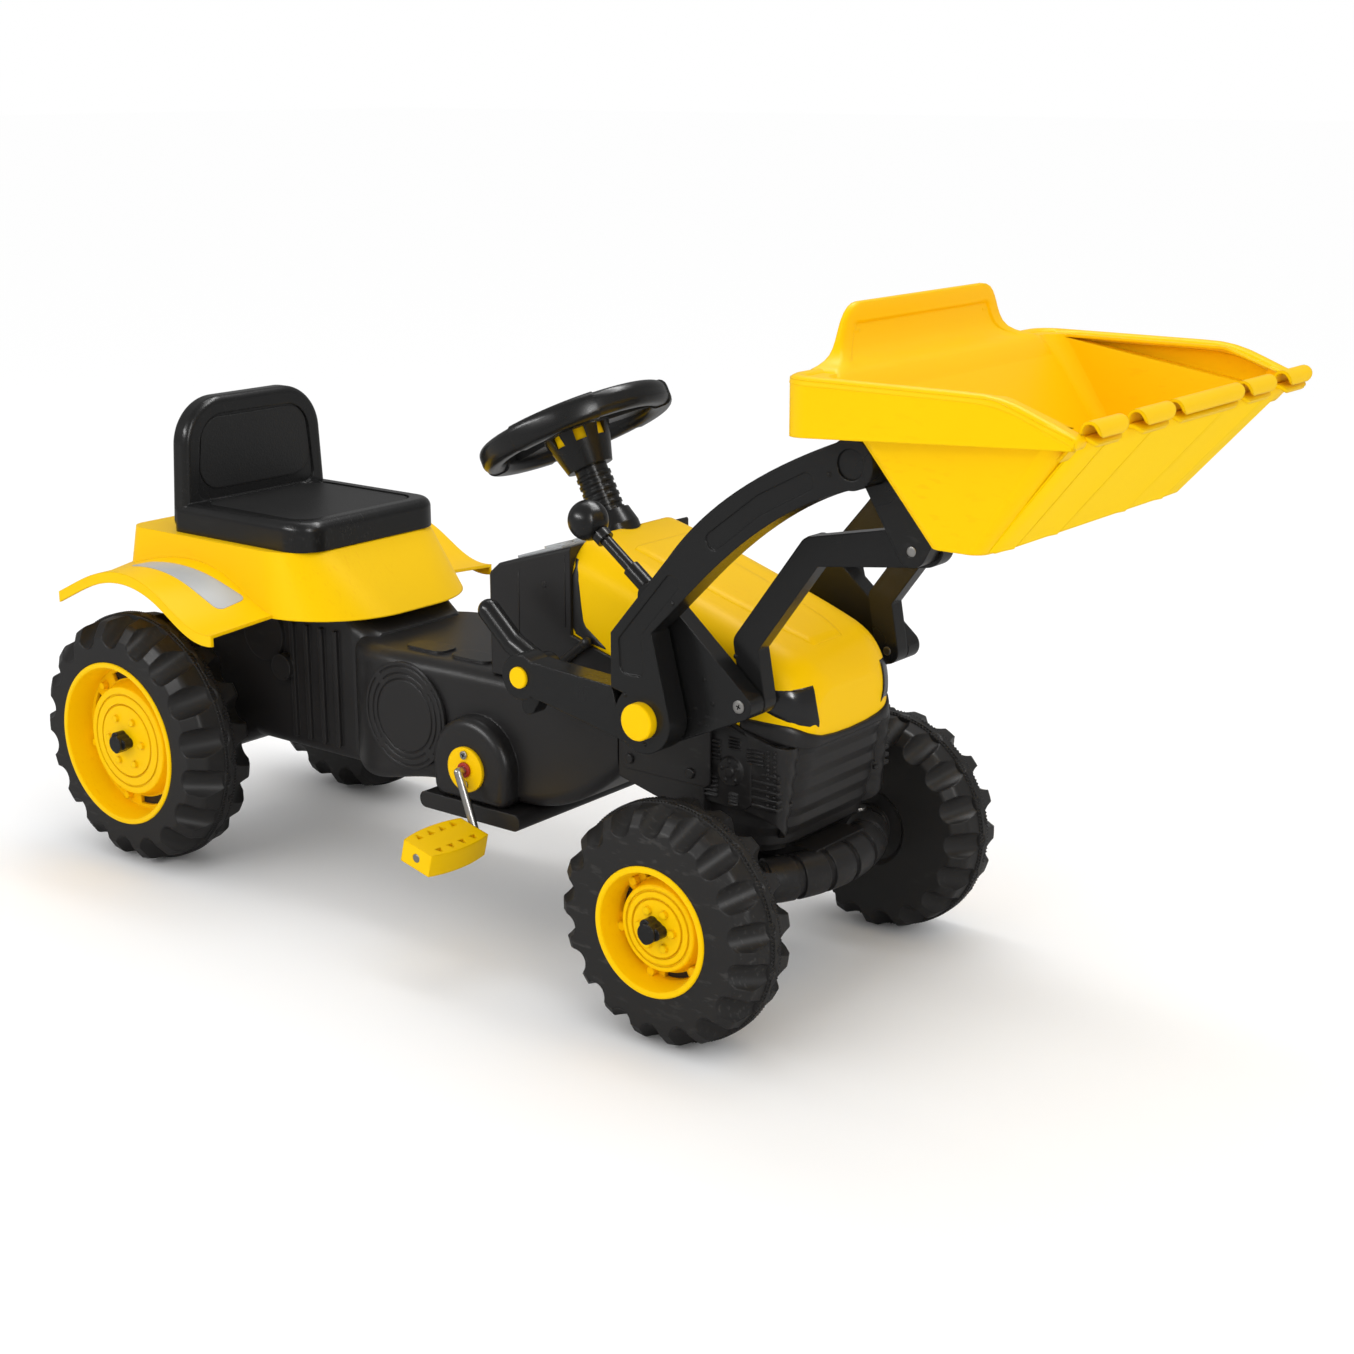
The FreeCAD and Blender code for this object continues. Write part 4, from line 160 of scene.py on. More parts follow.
# %% White floor and white tent
floor_size, paper_white, mirrored_paper, mirrored_tent = 40.0, 0.99, 0.36, 0.26
scene.view_settings.view_transform = "Standard"
floor_mesh = bpy.data.meshes.new("studio_floor")
floor_work = bmesh.new()
bmesh.ops.create_grid(floor_work, x_segments=1, y_segments=1, size=floor_size)
floor_work.to_mesh(floor_mesh)
floor_work.free()
studio_floor = put_in_scene("studio_floor", floor_mesh)
paper = bpy.data.materials.new("studio_paper")
paper.use_nodes = True
paper_tree = paper.node_tree
paper_ray = add_node(paper_tree, "ShaderNodeLightPath")
paper_tone = add_node(paper_tree, "ShaderNodeMix", {
    "Factor": paper_ray.outputs["Is Glossy Ray"],
    "A": opaque(paper_white, paper_white, paper_white),
    "B": opaque(mirrored_paper, mirrored_paper, mirrored_paper)}, data_type="RGBA")
feed(paper_tree, paper_tree.nodes["Principled BSDF"], {
    "Base Color": paper_tone.outputs["Result"], "Roughness": 0.9, "Specular IOR Level": 0.0})
floor_mesh.materials.append(paper)

tent = bpy.data.worlds.new("white_tent")
tent.use_nodes = True
scene.world = tent
tent_tree = tent.node_tree
tent_ray = add_node(tent_tree, "ShaderNodeLightPath")
mirrored_level = add_node(tent_tree, "ShaderNodeMapRange", {
    "Value": tent_ray.outputs["Is Glossy Ray"], "To Min": 1.0, "To Max": mirrored_tent})
tent_level = add_node(tent_tree, "ShaderNodeMix", {
    "Factor": tent_ray.outputs["Is Camera Ray"], "A": mirrored_level.outputs["Result"], "B": 1.0})
feed(tent_tree, tent_tree.nodes["Background"], {
    "Color": opaque(1.0, 1.0, 1.0), "Strength": tent_level.outputs["Result"]})
print("floor", floor_size * 2, "m wide, under", tent.name)

# %% [markdown]
# ## Softboxes
# Long, narrow softboxes draw bright, soft-edged lines along the rounded edges. The lamps called glints
# are left out of matt light, so they draw such lines without changing the colours. Each lamp has a place,
# a point it is aimed at, a width and height in metres, and a power in watts.

# %% Softboxes round the toy
lamps = [
    ("side_strip", (-0.5, -2.6, 1.7), (0.0, 0.0, 0.35), (2.4, 0.3), 9.0),
    ("top_strip", (0.1, 0.4, 2.6), (0.1, 0.0, 0.3), (2.6, 0.35), 11.0),
    ("front_strip", (2.4, -1.6, 1.9), (0.3, 0.0, 0.4), (0.3, 1.4), 4.0),
    ("side_glint", (-1.2, -2.6, 1.8), (-0.2, 0.0, 0.35), (2.0, 0.22), 42.0),
    ("top_glint", (0.3, 0.9, 2.6), (0.1, 0.0, 0.3), (2.4, 0.3), 40.0),
    ("front_glint", (2.4, -1.3, 1.5), (0.3, 0.0, 0.4), (0.25, 1.4), 24.0),
]
for name, place, aim, (width, height), power in lamps:
    softbox = bpy.data.lights.new(name, "AREA")
    softbox.shape = "RECTANGLE"
    softbox.size = width
    softbox.size_y = height
    softbox.energy = power
    lamp = put_in_scene(name, softbox)
    lamp.location = place
    lamp.visible_diffuse = not name.endswith("_glint")
    point_along(lamp, Vector(aim) - Vector(place))
print("studio has", len(lamps), "lamps")

# %% [markdown]
# ## Shared surface effects
# Moulded plastic is never quite even. The mould's steel leaves a fine grain, the melt leaves faint
# clouds, and children's hands and boots leave short scuffs. Each effect is wanted on several plastics, so
# each is built once as a node group and used with its own values. The groups are given the piece's own
# Object coordinates, which follow it when it moves.

# %% Node groups for grain and scuffs
number_kind, vector_kind = "NodeSocketFloat", "NodeSocketVector"


def new_group(name, inputs, outputs):
    """An empty shader node group with named sockets, and its two end nodes."""
    group = bpy.data.node_groups.new(name, "ShaderNodeTree")
    for title, kind in inputs.items():
        group.interface.new_socket(name=title, in_out="INPUT", socket_type=kind)
    for title in outputs:
        group.interface.new_socket(name=title, in_out="OUTPUT", socket_type=number_kind)
    return group, add_node(group, "NodeGroupInput"), add_node(group, "NodeGroupOutput")


def noise_in(group, place, scale, detail):
    """The strength of a noise texture in a group."""
    noise = add_node(group, "ShaderNodeTexNoise", {"Vector": place, "Scale": scale, "Detail": detail})
    return noise.outputs["Fac"]


mould_grain, grain_in, grain_out = new_group(
    "mould_grain", {"Place": vector_kind, "Grain": number_kind, "Cloud": number_kind}, ["Height", "Clouds"])
grain_place = grain_in.outputs["Place"]
feed(mould_grain, grain_out, {
    "Height": noise_in(mould_grain, grain_place, grain_in.outputs["Grain"], 2.0),
    "Clouds": noise_in(mould_grain, grain_place, grain_in.outputs["Cloud"], 4.0)})

play_scuffs, scuff_in, scuff_out = new_group(
    "play_scuffs", {"Place": vector_kind, "Spread": number_kind}, ["Scuffs"])
scuff_place = scuff_in.outputs["Place"]
stretched = add_node(play_scuffs, "ShaderNodeMapping", {"Vector": scuff_place, "Scale": (1.0, 6.0, 3.0)})
streaks = noise_in(play_scuffs, stretched.outputs["Vector"], 55.0, 3.0)
patches = noise_in(play_scuffs, scuff_place, scuff_in.outputs["Spread"], 2.0)
streak_edge = add_node(play_scuffs, "ShaderNodeMapRange", {
    "Value": streaks, "From Min": 0.58, "From Max": 0.68})
patch_edge = add_node(play_scuffs, "ShaderNodeMapRange", {
    "Value": patches, "From Min": 0.5, "From Max": 0.66})
both = add_node(play_scuffs, "ShaderNodeMath", {
    0: streak_edge.outputs["Result"], 1: patch_edge.outputs["Result"]}, operation="MULTIPLY")
feed(play_scuffs, scuff_out, {"Scuffs": both.outputs["Value"]})
print("groups:", [group.name for group in bpy.data.node_groups])

# %% [markdown]
# ## One recipe
# Every finish is the same recipe with other values: clouds shift the colour a little, grain and scuffs
# change the gloss, and grain lifts the surface. A bevel of the normal softens the solids' sharp edges, as
# a mould's rounded edges do.

# %% Recipe for the moulded and metal finishes
cloud_scale, scuff_spread, grain_strength, edge_radius, coat_rough = 6.0, 3.0, 0.35, 0.0026, 0.12


def moulded(name, colours, rough, rough_worn, grain, grain_lift, metal=0.0, coat=0.0, shine=0.5,
            shine_tint=(1.0, 1.0, 1.0)):
    """A procedural finish of clouds, grain and scuffs, from its plain, clouded and worn colours."""
    plain, clouded, worn = [opaque(*colour) for colour in colours]
    material = bpy.data.materials.new(name)
    material.use_nodes = True
    tree = material.node_tree
    place = add_node(tree, "ShaderNodeTexCoord").outputs["Object"]
    surface = add_node(tree, "ShaderNodeGroup", {"Place": place, "Grain": grain, "Cloud": cloud_scale},
                       node_tree=mould_grain)
    scuffed = add_node(tree, "ShaderNodeGroup", {"Place": place, "Spread": scuff_spread},
                       node_tree=play_scuffs)
    clouds, scuffs = surface.outputs["Clouds"], scuffed.outputs["Scuffs"]
    tint = add_node(tree, "ShaderNodeMix", {"Factor": clouds, "A": plain, "B": clouded}, data_type="RGBA")
    wear = add_node(tree, "ShaderNodeMix", {"Factor": scuffs, "A": tint.outputs["Result"], "B": worn},
                    data_type="RGBA")
    uneven = add_node(tree, "ShaderNodeMath", {0: clouds, 1: scuffs}, operation="MAXIMUM")
    gloss = add_node(tree, "ShaderNodeMix", {"Factor": uneven.outputs["Value"], "A": rough, "B": rough_worn})
    soft_edge = add_node(tree, "ShaderNodeBevel", {"Radius": edge_radius}, samples=4)
    bump = add_node(tree, "ShaderNodeBump", {
        "Strength": grain_strength, "Distance": grain_lift, "Height": surface.outputs["Height"],
        "Normal": soft_edge.outputs["Normal"]})
    feed(tree, tree.nodes["Principled BSDF"], {
        "Base Color": wear.outputs["Result"], "Roughness": gloss.outputs["Result"],
        "Normal": bump.outputs["Normal"], "Metallic": metal, "Coat Weight": coat,
        "Coat Roughness": coat_rough, "Specular IOR Level": shine, "Specular Tint": opaque(*shine_tint)})
    return material


print("the recipe uses", mould_grain.name, "and", play_scuffs.name)

# %% [markdown]
# ## Finishes
# The toy uses few materials. Satin black covers the body, a glossier black the seat and loader, and a
# warm yellow the hood, deck, bucket, wheel discs and caps. The crank and axles are drawn steel. Each row
# gives the plain, clouded and worn colours, the roughness when smooth and when worn, and the grain's
# fineness and height.

# %% Finishes on the solids
finishes = {
    "yellow_gloss": moulded(
        "warm_yellow_plastic", [(0.95, 0.56, 0.0005), (0.96, 0.60, 0.001), (0.93, 0.54, 0.001)],
        0.34, 0.44, 900.0, 0.00006, shine=0.16, shine_tint=(1.0, 0.76, 0.2)),
    "black_satin": moulded(
        "satin_black_plastic", [(0.013, 0.012, 0.012), (0.018, 0.017, 0.017), (0.030, 0.029, 0.028)],
        0.28, 0.42, 1400.0, 0.0003, shine=0.42),
    "black_gloss": moulded(
        "gloss_black_plastic", [(0.008, 0.008, 0.008), (0.011, 0.011, 0.011), (0.02, 0.02, 0.02)],
        0.2, 0.32, 1100.0, 0.00012, coat=0.06, shine=0.36),
    "tyre_black": moulded(
        "tyre_black_plastic", [(0.016, 0.015, 0.015), (0.022, 0.021, 0.020), (0.04, 0.038, 0.036)],
        0.32, 0.48, 700.0, 0.0003, shine=0.3),
    "steel": moulded(
        "drawn_steel", [(0.50, 0.49, 0.47), (0.44, 0.43, 0.41), (0.34, 0.33, 0.31)],
        0.24, 0.42, 500.0, 0.0001, metal=1.0),
    "silver_grey": moulded(
        "silver_grey_plastic", [(0.50, 0.52, 0.53), (0.56, 0.58, 0.59), (0.44, 0.45, 0.46)],
        0.3, 0.45, 900.0, 0.0001),
    "red_bush": moulded(
        "red_bush_plastic", [(0.45, 0.02, 0.012), (0.38, 0.018, 0.01), (0.3, 0.02, 0.015)],
        0.3, 0.5, 800.0, 0.0001),
    "charcoal": moulded(
        "charcoal_headlight", [(0.008, 0.008, 0.009), (0.012, 0.012, 0.013), (0.02, 0.02, 0.02)],
        0.14, 0.24, 900.0, 0.00005, coat=0.2),
}
slot_of = {row["node"]: row["material_slot"] for row in frame["record"]["subparts"]}
for name, solid in nodes.items():
    solid.data.materials.clear()
    solid.data.materials.append(finishes[slot_of[name]])
print("finished", len(nodes), "solids with", len(finishes), "materials")

# %% [markdown]
# ## Places on the solids
# The fine pieces are small: ribs, screws, panels. Each is worked out in millimetres from the rear axle,
# where the photograph could be measured, and is set on the solid's real surface by sending a straight
# line at it.

# %% Helpers that find places
photo_points = 1354
downward, to_left, to_right = Vector((0.0, 0.0, -1.0)), Vector((0.0, 1.0, 0.0)), Vector((0.0, -1.0, 0.0))
sides = {"right": -1, "left": 1}
solid_skins = {}


def spot(x, y, z):
    """A place given in millimetres from the rear axle, the toy's middle and the floor."""
    return Vector((rear_axle.x + x / 1000, y / 1000, z / 1000))


def touch(node, start, direction):
    """Where a straight line first meets a solid's surface, and the way the surface faces there."""
    if node not in solid_skins:
        solid = nodes[node]
        points = [solid.matrix_world @ vertex.co for vertex in solid.data.vertices]
        faces = [tuple(face.vertices) for face in solid.data.polygons]
        solid_skins[node] = BVHTree.FromPolygons(points, faces)
    hit, facing = solid_skins[node].ray_cast(start, direction)[:2]
    if hit is None:
        raise ValueError(f"no surface of {node} lies ahead of {start}")
    return hit, facing


def meet(node, start, direction):
    """Where a straight line first meets a solid's surface."""
    return touch(node, start, direction)[0]


def right_face(node, x, z):
    """The place on a solid that is seen first from the toy's right."""
    return meet(node, spot(x, -260.0, z), to_left)


def sight(across, down):
    """The way from the camera through a point of the picture, counted in the photograph's points."""
    view_width = camera_data.sensor_width / camera_data.lens
    right = (across / photo_points - 0.5) * view_width
    up = (0.5 - down / photo_points) * view_width
    return (camera.rotation_quaternion @ Vector((right, up, -1.0))).normalized()


print("the rear axle is at", [round(value, 4) for value in rear_axle])

# %% [markdown]
# ## Numbers
# Many outlines are given as a few measured values with even steps between them. Three small helpers make
# the steps, keep a share within its limits and read a table.

# %% Helpers for numbers
def between(start, end, count):
    """Evenly spaced numbers from a start to an end."""
    return [start + (end - start) * step / (count - 1) for step in range(count)]


def held(value):
    """A number kept between nought and one."""
    return min(max(value, 0.0), 1.0)


def from_table(table, place):
    """A value read between a table's rows of place and value. Beyond the table it is the last value."""
    for (place_from, value_from), (place_to, value_to) in zip(table, table[1:]):
        if place <= place_to:
            return value_from + (value_to - value_from) * (place - place_from) / (place_to - place_from)
    return table[-1][1]


print("five numbers from 0 to 1:", between(0.0, 1.0, 5))

# %% [markdown]
# ## Blocks, studs and plates
# Many fine pieces are put together from blocks, round studs and flat plates. One helper rounds edges,
# because moulded plastic has no sharp ones.

# %% Helpers that make simple forms
def bar(work, middle, size, turn=None):
    """A block with its middle at a place, turned if asked."""
    matrix = Matrix.Translation(middle) @ (turn or Matrix.Identity(4)) @ Matrix.Diagonal((*size, 1.0))
    return bmesh.ops.create_cube(work, size=1.0, matrix=matrix)["verts"]


def stud(work, middle, radius, top, length, segments=24, direction=to_right):
    """A round stud along a direction, with its middle at a place and a radius at its foot and its top."""
    matrix = Matrix.Translation(middle) @ direction.to_track_quat("Z", "Y").to_matrix().to_4x4()
    bmesh.ops.create_cone(work, cap_ends=True, segments=segments, radius1=radius, radius2=top, depth=length,
                          matrix=matrix)


def soften(work, edges, width, segments=2):
    """Rounds some edges of the work."""
    bmesh.ops.bevel(work, geom=edges, offset=width, segments=segments, profile=0.5, affect="EDGES",
                    material=-1)


def plate(work, corners, depth):
    """A flat plate with the given corner places and a thickness along a direction."""
    face = work.faces.new([work.verts.new(corner) for corner in corners])
    grown = bmesh.ops.extrude_face_region(work, geom=[face])["geom"]
    moved = [part for part in grown if isinstance(part, bmesh.types.BMVert)]
    bmesh.ops.translate(work, verts=moved, vec=depth)


def rounded(corners, radius, steps=6):
    """A closed outline in two numbers per point, with its corners rounded."""
    outline = []
    for index, corner in enumerate(corners):
        here = Vector(corner)
        before = (Vector(corners[index - 1]) - here).normalized()
        after = (Vector(corners[(index + 1) % len(corners)]) - here).normalized()
        half = before.angle(after) / 2
        centre = here + (before + after).normalized() * radius / math.sin(half)
        start = here + before * radius / math.tan(half) - centre
        end = here + after * radius / math.tan(half) - centre
        swing = math.atan2(start.x * end.y - start.y * end.x, start.dot(end))
        for step in range(steps + 1):
            outline.append(tuple(centre + Matrix.Rotation(swing * step / steps, 2) @ start))
    return outline


print("a square with round corners has", len(rounded([(0, 0), (9, 0), (9, 9), (0, 9)], 2.0)), "points")

# %% [markdown]
# ## Thin shells
# Films, laps and curved sheets are thin closed shells. A shell is two grids of points, one over the
# other, with a border between them. A shell on a solid reaches a little way into it, so no gap is seen
# under its edge.

# %% Helpers that make shells
skin_depth = 0.0008


def add_shell(work, rows):
    """A closed thin shell from rows of point pairs, each with an upper and a lower place."""
    top, low = [], []
    for row in rows:
        top.append([work.verts.new(upper) for upper, lower in row])
        low.append([work.verts.new(lower) for upper, lower in row])
    last_line, last_column = len(top) - 1, len(top[0]) - 1
    for sheet in (top, low):
        for line, after in zip(sheet, sheet[1:]):
            for column in range(last_column):
                beside = column + 1
                work.faces.new((line[column], line[beside], after[beside], after[column]))
    border = [(0, column) for column in range(last_column)]
    border += [(line, last_column) for line in range(last_line)]
    border += [(last_line, column) for column in range(last_column, 0, -1)]
    border += [(line, 0) for line in range(last_line, 0, -1)]
    for (line, column), (after, beside) in zip(border, border[1:] + border[:1]):
        work.faces.new((top[line][column], top[after][beside], low[after][beside], low[line][column]))


def wrapped_panel(node, rows, aim):
    """A thin shell laid over a solid, from rows of places outside it and heights above its surface."""
    work = bmesh.new()
    pairs = []
    for row in rows:
        hits = [(meet(node, place, aim), lift) for place, lift in row]
        pairs.append([(hit - aim * lift, hit + aim * skin_depth) for hit, lift in hits])
    add_shell(work, pairs)
    return work


print("shells reach", skin_depth * 1000, "mm into the solid they lie on")

# %% [markdown]
# ## Handing over
# The toy is nearly the same on both sides, so most pieces are built on the right and mirrored. Every
# finished piece gets its finish and rides on the body that carries it, so it moves with the joints.

# %% Helpers that mirror and hand over a piece
smooth_below = math.radians(38)


def mirror_over(work):
    """Adds the same work on the toy's other side."""
    twin = bmesh.ops.duplicate(work, geom=work.verts[:] + work.edges[:] + work.faces[:])["geom"]
    for part in twin:
        if isinstance(part, bmesh.types.BMVert):
            part.co.y = -part.co.y


def hand_over(name, work, slot, body, finish=None):
    """A finished object from the work so far, in its slot's finish and riding on its body."""
    bmesh.ops.recalc_face_normals(work, faces=work.faces)
    data = bpy.data.meshes.new(name)
    work.to_mesh(data)
    work.free()
    data.shade_smooth()
    data.set_sharp_from_angle(angle=smooth_below)
    data.materials.append(finish or finishes[slot])
    piece = put_in_scene(name, data)
    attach(piece, body)
    return piece


# %% [markdown]
# ## Tyre seams
# A blow-moulded tyre is squeezed out between two halves of a mould, and the halves meet along its middle.
# The mould maker hides that seam in a knurled double ring. It is built as a toothed band on each side of
# the seam, a little lower than the tyre's greatest radius, so the tyre still rolls on its seam.

# %% Knurled rings beside the seam of each tyre
ridge_pitch, ridge_sunk, valley_sunk, root_sunk = 0.0044, 0.0002, 0.0018, 0.0090
for tyre in [name for name in nodes if name.endswith("_tyre")]:
    low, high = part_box(tyre)
    middle, radius = (low + high) / 2, (high.z - low.z) / 2
    count = round(math.tau * radius / ridge_pitch)
    knurl = bmesh.new()
    for side in (-1, 1):
        band = []
        for index in range(2 * count):
            turn = Matrix.Rotation(math.pi * index / count, 4, "Y")
            crest = ridge_sunk if index % 2 == 0 else valley_sunk
            corners = [(crest, 0.0014), (crest, 0.0082), (root_sunk, 0.0088), (root_sunk, 0.0008)]
            places = [Vector((radius - sunk, side * y, 0.0)) for sunk, y in corners]
            band.append([knurl.verts.new(middle + turn @ place) for place in places])
        for here, after in zip(band, band[1:] + band[:1]):
            for corner in range(4):
                beside = (corner + 1) % 4
                knurl.faces.new((here[corner], here[beside], after[beside], after[corner]))
    hand_over(f"{tyre}_seam", knurl, "tyre_black", body_of(nodes[tyre])[0])
    print(tyre, "has", count, "ridges each side of its seam")

# %% [markdown]
# ## Fender panels
# Each fender carries a silver-grey adhesive panel along its outer half. It is thin film, so it follows
# the curve of the fender. The panel is cut as a strip with rounded corners, and each of its points is
# dropped on the fender.

# %% Plain silver panels on the fenders
film = moulded(
    "silver_panel_film", [(0.43, 0.45, 0.46), (0.47, 0.49, 0.50), (0.40, 0.41, 0.42)],
    0.28, 0.4, 700.0, 0.00003)
panel_start, panel_long, panel_corner, film_lift = 14.0, 152.0, 9.0, 0.0005
end_steps = [0.0, 0.6, 2.0, 4.5, panel_corner]
middle_steps = [panel_corner + step * 7.0 for step in range(1, 19)]
steps = end_steps + middle_steps + [panel_long - step for step in end_steps[::-1]]
for side_name, side in sides.items():
    rows = []
    for step in steps:
        share = step / panel_long
        inner, outer = 177.0 - 27.0 * share, 207.0 - 13.0 * share
        from_end = min(step, panel_long - step, panel_corner)
        trim = panel_corner - math.sqrt(panel_corner ** 2 - (panel_corner - from_end) ** 2)
        across = between(inner + trim, outer - trim, 9)
        rows.append([(spot(panel_start + step, side * y, 480.0), film_lift) for y in across])
    strip = wrapped_panel("seat_platform", rows, downward)
    hand_over(f"{side_name}_fender_panel", strip, "silver_grey", "chassis", film)
print("fender panels", round(panel_long), "mm long")

# %% [markdown]
# ## Hood ridge
# The hood's top carries a raised field with sloping sides, which stiffens the long shell. It narrows
# towards the front and ends before the hood rounds over. The field is a sheet of points dropped on the
# hood: the outer points lie in its surface and the inner ones stand 3 mm above it.

# %% Raised field along the hood
field_halves = [(700.0, 49.0), (824.0, 46.0), (900.0, 38.0), (928.0, 29.0)]
field_rise, field_slope, seated = 0.003, 7.0, -0.0004
stations = [700.0 + step * 9.5 for step in range(24)] + [920.5, 924.0, 928.0]
rows = []
for x in stations:
    half = from_table(field_halves, x)
    rise = field_rise if x < 921.0 else field_rise / 2 if x < 926.0 else seated
    across = [(-half, seated), (-half + field_slope / 2, rise / 2), (-half + field_slope, rise)]
    across += [((half - field_slope) * share / 5, rise) for share in range(-4, 5)]
    across += [(half - field_slope, rise), (half - field_slope / 2, rise / 2), (half, seated)]
    rows.append([(spot(x, y, 560.0), min(lift, rise)) for y, lift in across])
ridge = wrapped_panel("hood", rows, downward)
hand_over("hood_ridge", ridge, "yellow_gloss", "chassis")
print("hood ridge", round(stations[-1] - stations[0]), "mm long")

# %% [markdown]
# ## Seat panels
# The seat is glossy, but where the rider sits and leans the mould was etched with a leather grain, so
# that clothes don't slide. The etched fields lie in the seat's two sunk panels. They are thin plates with
# a coarser, duller grain.

# %% Grained panels in the seat
grain_finish = moulded(
    "seat_grain_plastic", [(0.009, 0.009, 0.009), (0.013, 0.013, 0.013), (0.02, 0.02, 0.02)],
    0.36, 0.5, 420.0, 0.0009, shine=0.45)
grain_plate = 0.0009
pan = bmesh.new()
pan_outline = rounded([(29.0, -97.0), (217.0, -97.0), (217.0, 97.0), (29.0, 97.0)], 25.0)
plate(pan, [spot(x, y, 454.8) for x, y in pan_outline], (0.0, 0.0, grain_plate))
hand_over("seat_pan_grain", pan, "black_gloss", "chassis", grain_finish)
rest = bmesh.new()
rest_outline = rounded([(-97.0, 470.0), (97.0, 470.0), (86.0, 562.0), (-86.0, 562.0)], 30.0)
plate(rest, [spot(23.8, y, z) for y, z in rest_outline], (grain_plate, 0.0, 0.0))
hand_over("seat_back_grain", rest, "black_gloss", "chassis", grain_finish)
print("seat panels have", len(pan_outline), "and", len(rest_outline), "outline points")

# %% [markdown]
# ## Quarter frames
# Behind the loader arm, the hood's rear corner is framed in black: the console's edge laps over the
# yellow shell and rounds its lower corner. The lap is a thin strip on each side of the hood.

# %% Black laps at the hood's rear corners
outer_line = [(656.6, 470.0), (656.6, 452.0), (656.6, 420.0), (656.6, 392.0), (661.0, 385.5), (672.0, 382.0),
              (686.0, 378.0), (704.0, 375.0)]
inner_line = [(660.0, 469.0), (664.5, 453.0), (668.5, 420.0), (671.5, 402.0), (675.5, 395.5), (682.0, 391.5),
              (690.0, 386.0), (704.0, 376.5)]
lap_lifts = (0.0009, 0.0012, 0.0012, 0.0004)
for side_name, side in sides.items():
    rows = []
    for (x_out, z_out), (x_in, z_in) in zip(outer_line, inner_line):
        line = zip(between(x_out, x_in, 4), between(z_out, z_in, 4), lap_lifts)
        rows.append([(spot(x, side * 200.0, z), lift) for x, z, lift in line])
    lap = wrapped_panel("hood", rows, Vector((0.0, -side, 0.0)))
    hand_over(f"{side_name}_hood_lap", lap, "black_satin", "chassis")
print("laps follow", len(outer_line), "points")

# %% [markdown]
# ## Headlight panes
# The headlights are dark panes that wrap round the hood's front corners. Their curved upper and lower
# edges were read from the picture, so each edge point is found on the hood by looking along the camera's
# line of sight. The panes take the place of the simpler CAD panes, and the left one is the mirror image
# of the right one.

# %% Panes on the hood's front corners
pane_top = [(749.0, 684.0), (762.0, 688.0), (772.0, 690.0), (784.0, 691.0), (797.0, 689.5), (806.0, 687.5),
            (812.6, 685.5)]
pane_low = [(752.0, 704.0), (765.0, 711.5), (775.0, 717.0), (787.0, 722.0), (800.0, 725.5), (809.0, 726.8),
            (819.0, 727.0)]
pane_lift, pane_edge_lift = 0.0019, 0.0004
panes = bmesh.new()
rows = []
for share in between(0.0, 1.0, 9):
    lift = pane_edge_lift if share in (0.0, 1.0) else pane_lift
    row = []
    for (top_x, top_y), (low_x, low_y) in zip(pane_top, pane_low):
        line = sight(top_x + (low_x - top_x) * share, top_y + (low_y - top_y) * share)
        hit, facing = touch("hood", camera.location, line)
        row.append((hit + facing * lift, hit - facing * skin_depth))
    rows.append(row)
add_shell(panes, rows)
mirror_over(panes)
headlight_panes = hand_over("headlight_panes", panes, "charcoal", "chassis")
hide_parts("headlights")
print("panes have", len(headlight_panes.data.polygons), "faces")

# %% [markdown]
# ## Nose collar
# Under the hood's front edge, the black housing laps over the yellow shell like a collar. The lap is
# highest at the sides. The collar is a narrow band round the hood's front, found by sending lines at the
# hood from round its front, and it fades out at both ends.

# %% Black collar round the hood's lower front edge
collar_heights = [(0.0, 308.5), (30.0, 309.5), (55.0, 312.5), (75.0, 319.0), (90.0, 327.0), (105.0, 331.5)]
collar_bands = [(0.0, 0.0030), (0.3, 0.0034), (0.7, 0.0032), (0.9, 0.0024), (1.0, 0.0004)]
collar_reach, collar_least, line_start = 86.0, 3.0, 0.3


def hood_edge(x):
    """The height of the hood's lower edge, which falls towards the front."""
    return 384.0 - 82.0 * (x - 656.0) / 302.0


collar = bmesh.new()
rows = []
for share, lift in collar_bands:
    row = []
    for degrees in between(-collar_reach, collar_reach, 61):
        angle = math.radians(degrees)
        away = Vector((math.cos(angle), math.sin(angle), 0.0))
        centre = spot(880.0, 0.0, 326.0)
        seen = meet("hood", centre + away * line_start, -away)
        low_z = hood_edge((seen.x - rear_axle.x) * 1000) + 0.3
        high_z = max(from_table(collar_heights, abs(seen.y) * 1000), low_z + collar_least)
        centre.z = (low_z + (high_z - low_z) * share) / 1000
        hit, facing = touch("hood", centre + away * line_start, -away)
        fade = held(0.2 + (collar_reach - abs(degrees)) / 4.0)
        row.append((hit + facing * lift * fade, hit - facing * skin_depth))
    rows.append(row)
add_shell(collar, rows)
hand_over("nose_collar", collar, "black_satin", "chassis")
print("collar rises from", collar_heights[0][1], "to", collar_heights[-1][1], "mm")

# %% [markdown]
# ## Nose cheeks
# The ribbed nose turns into the flat flank at a fairly square corner. Each cheek is a sheet that is bent
# round this corner: plain along the flank, and with the nose's shallow ribs fading in towards the front.

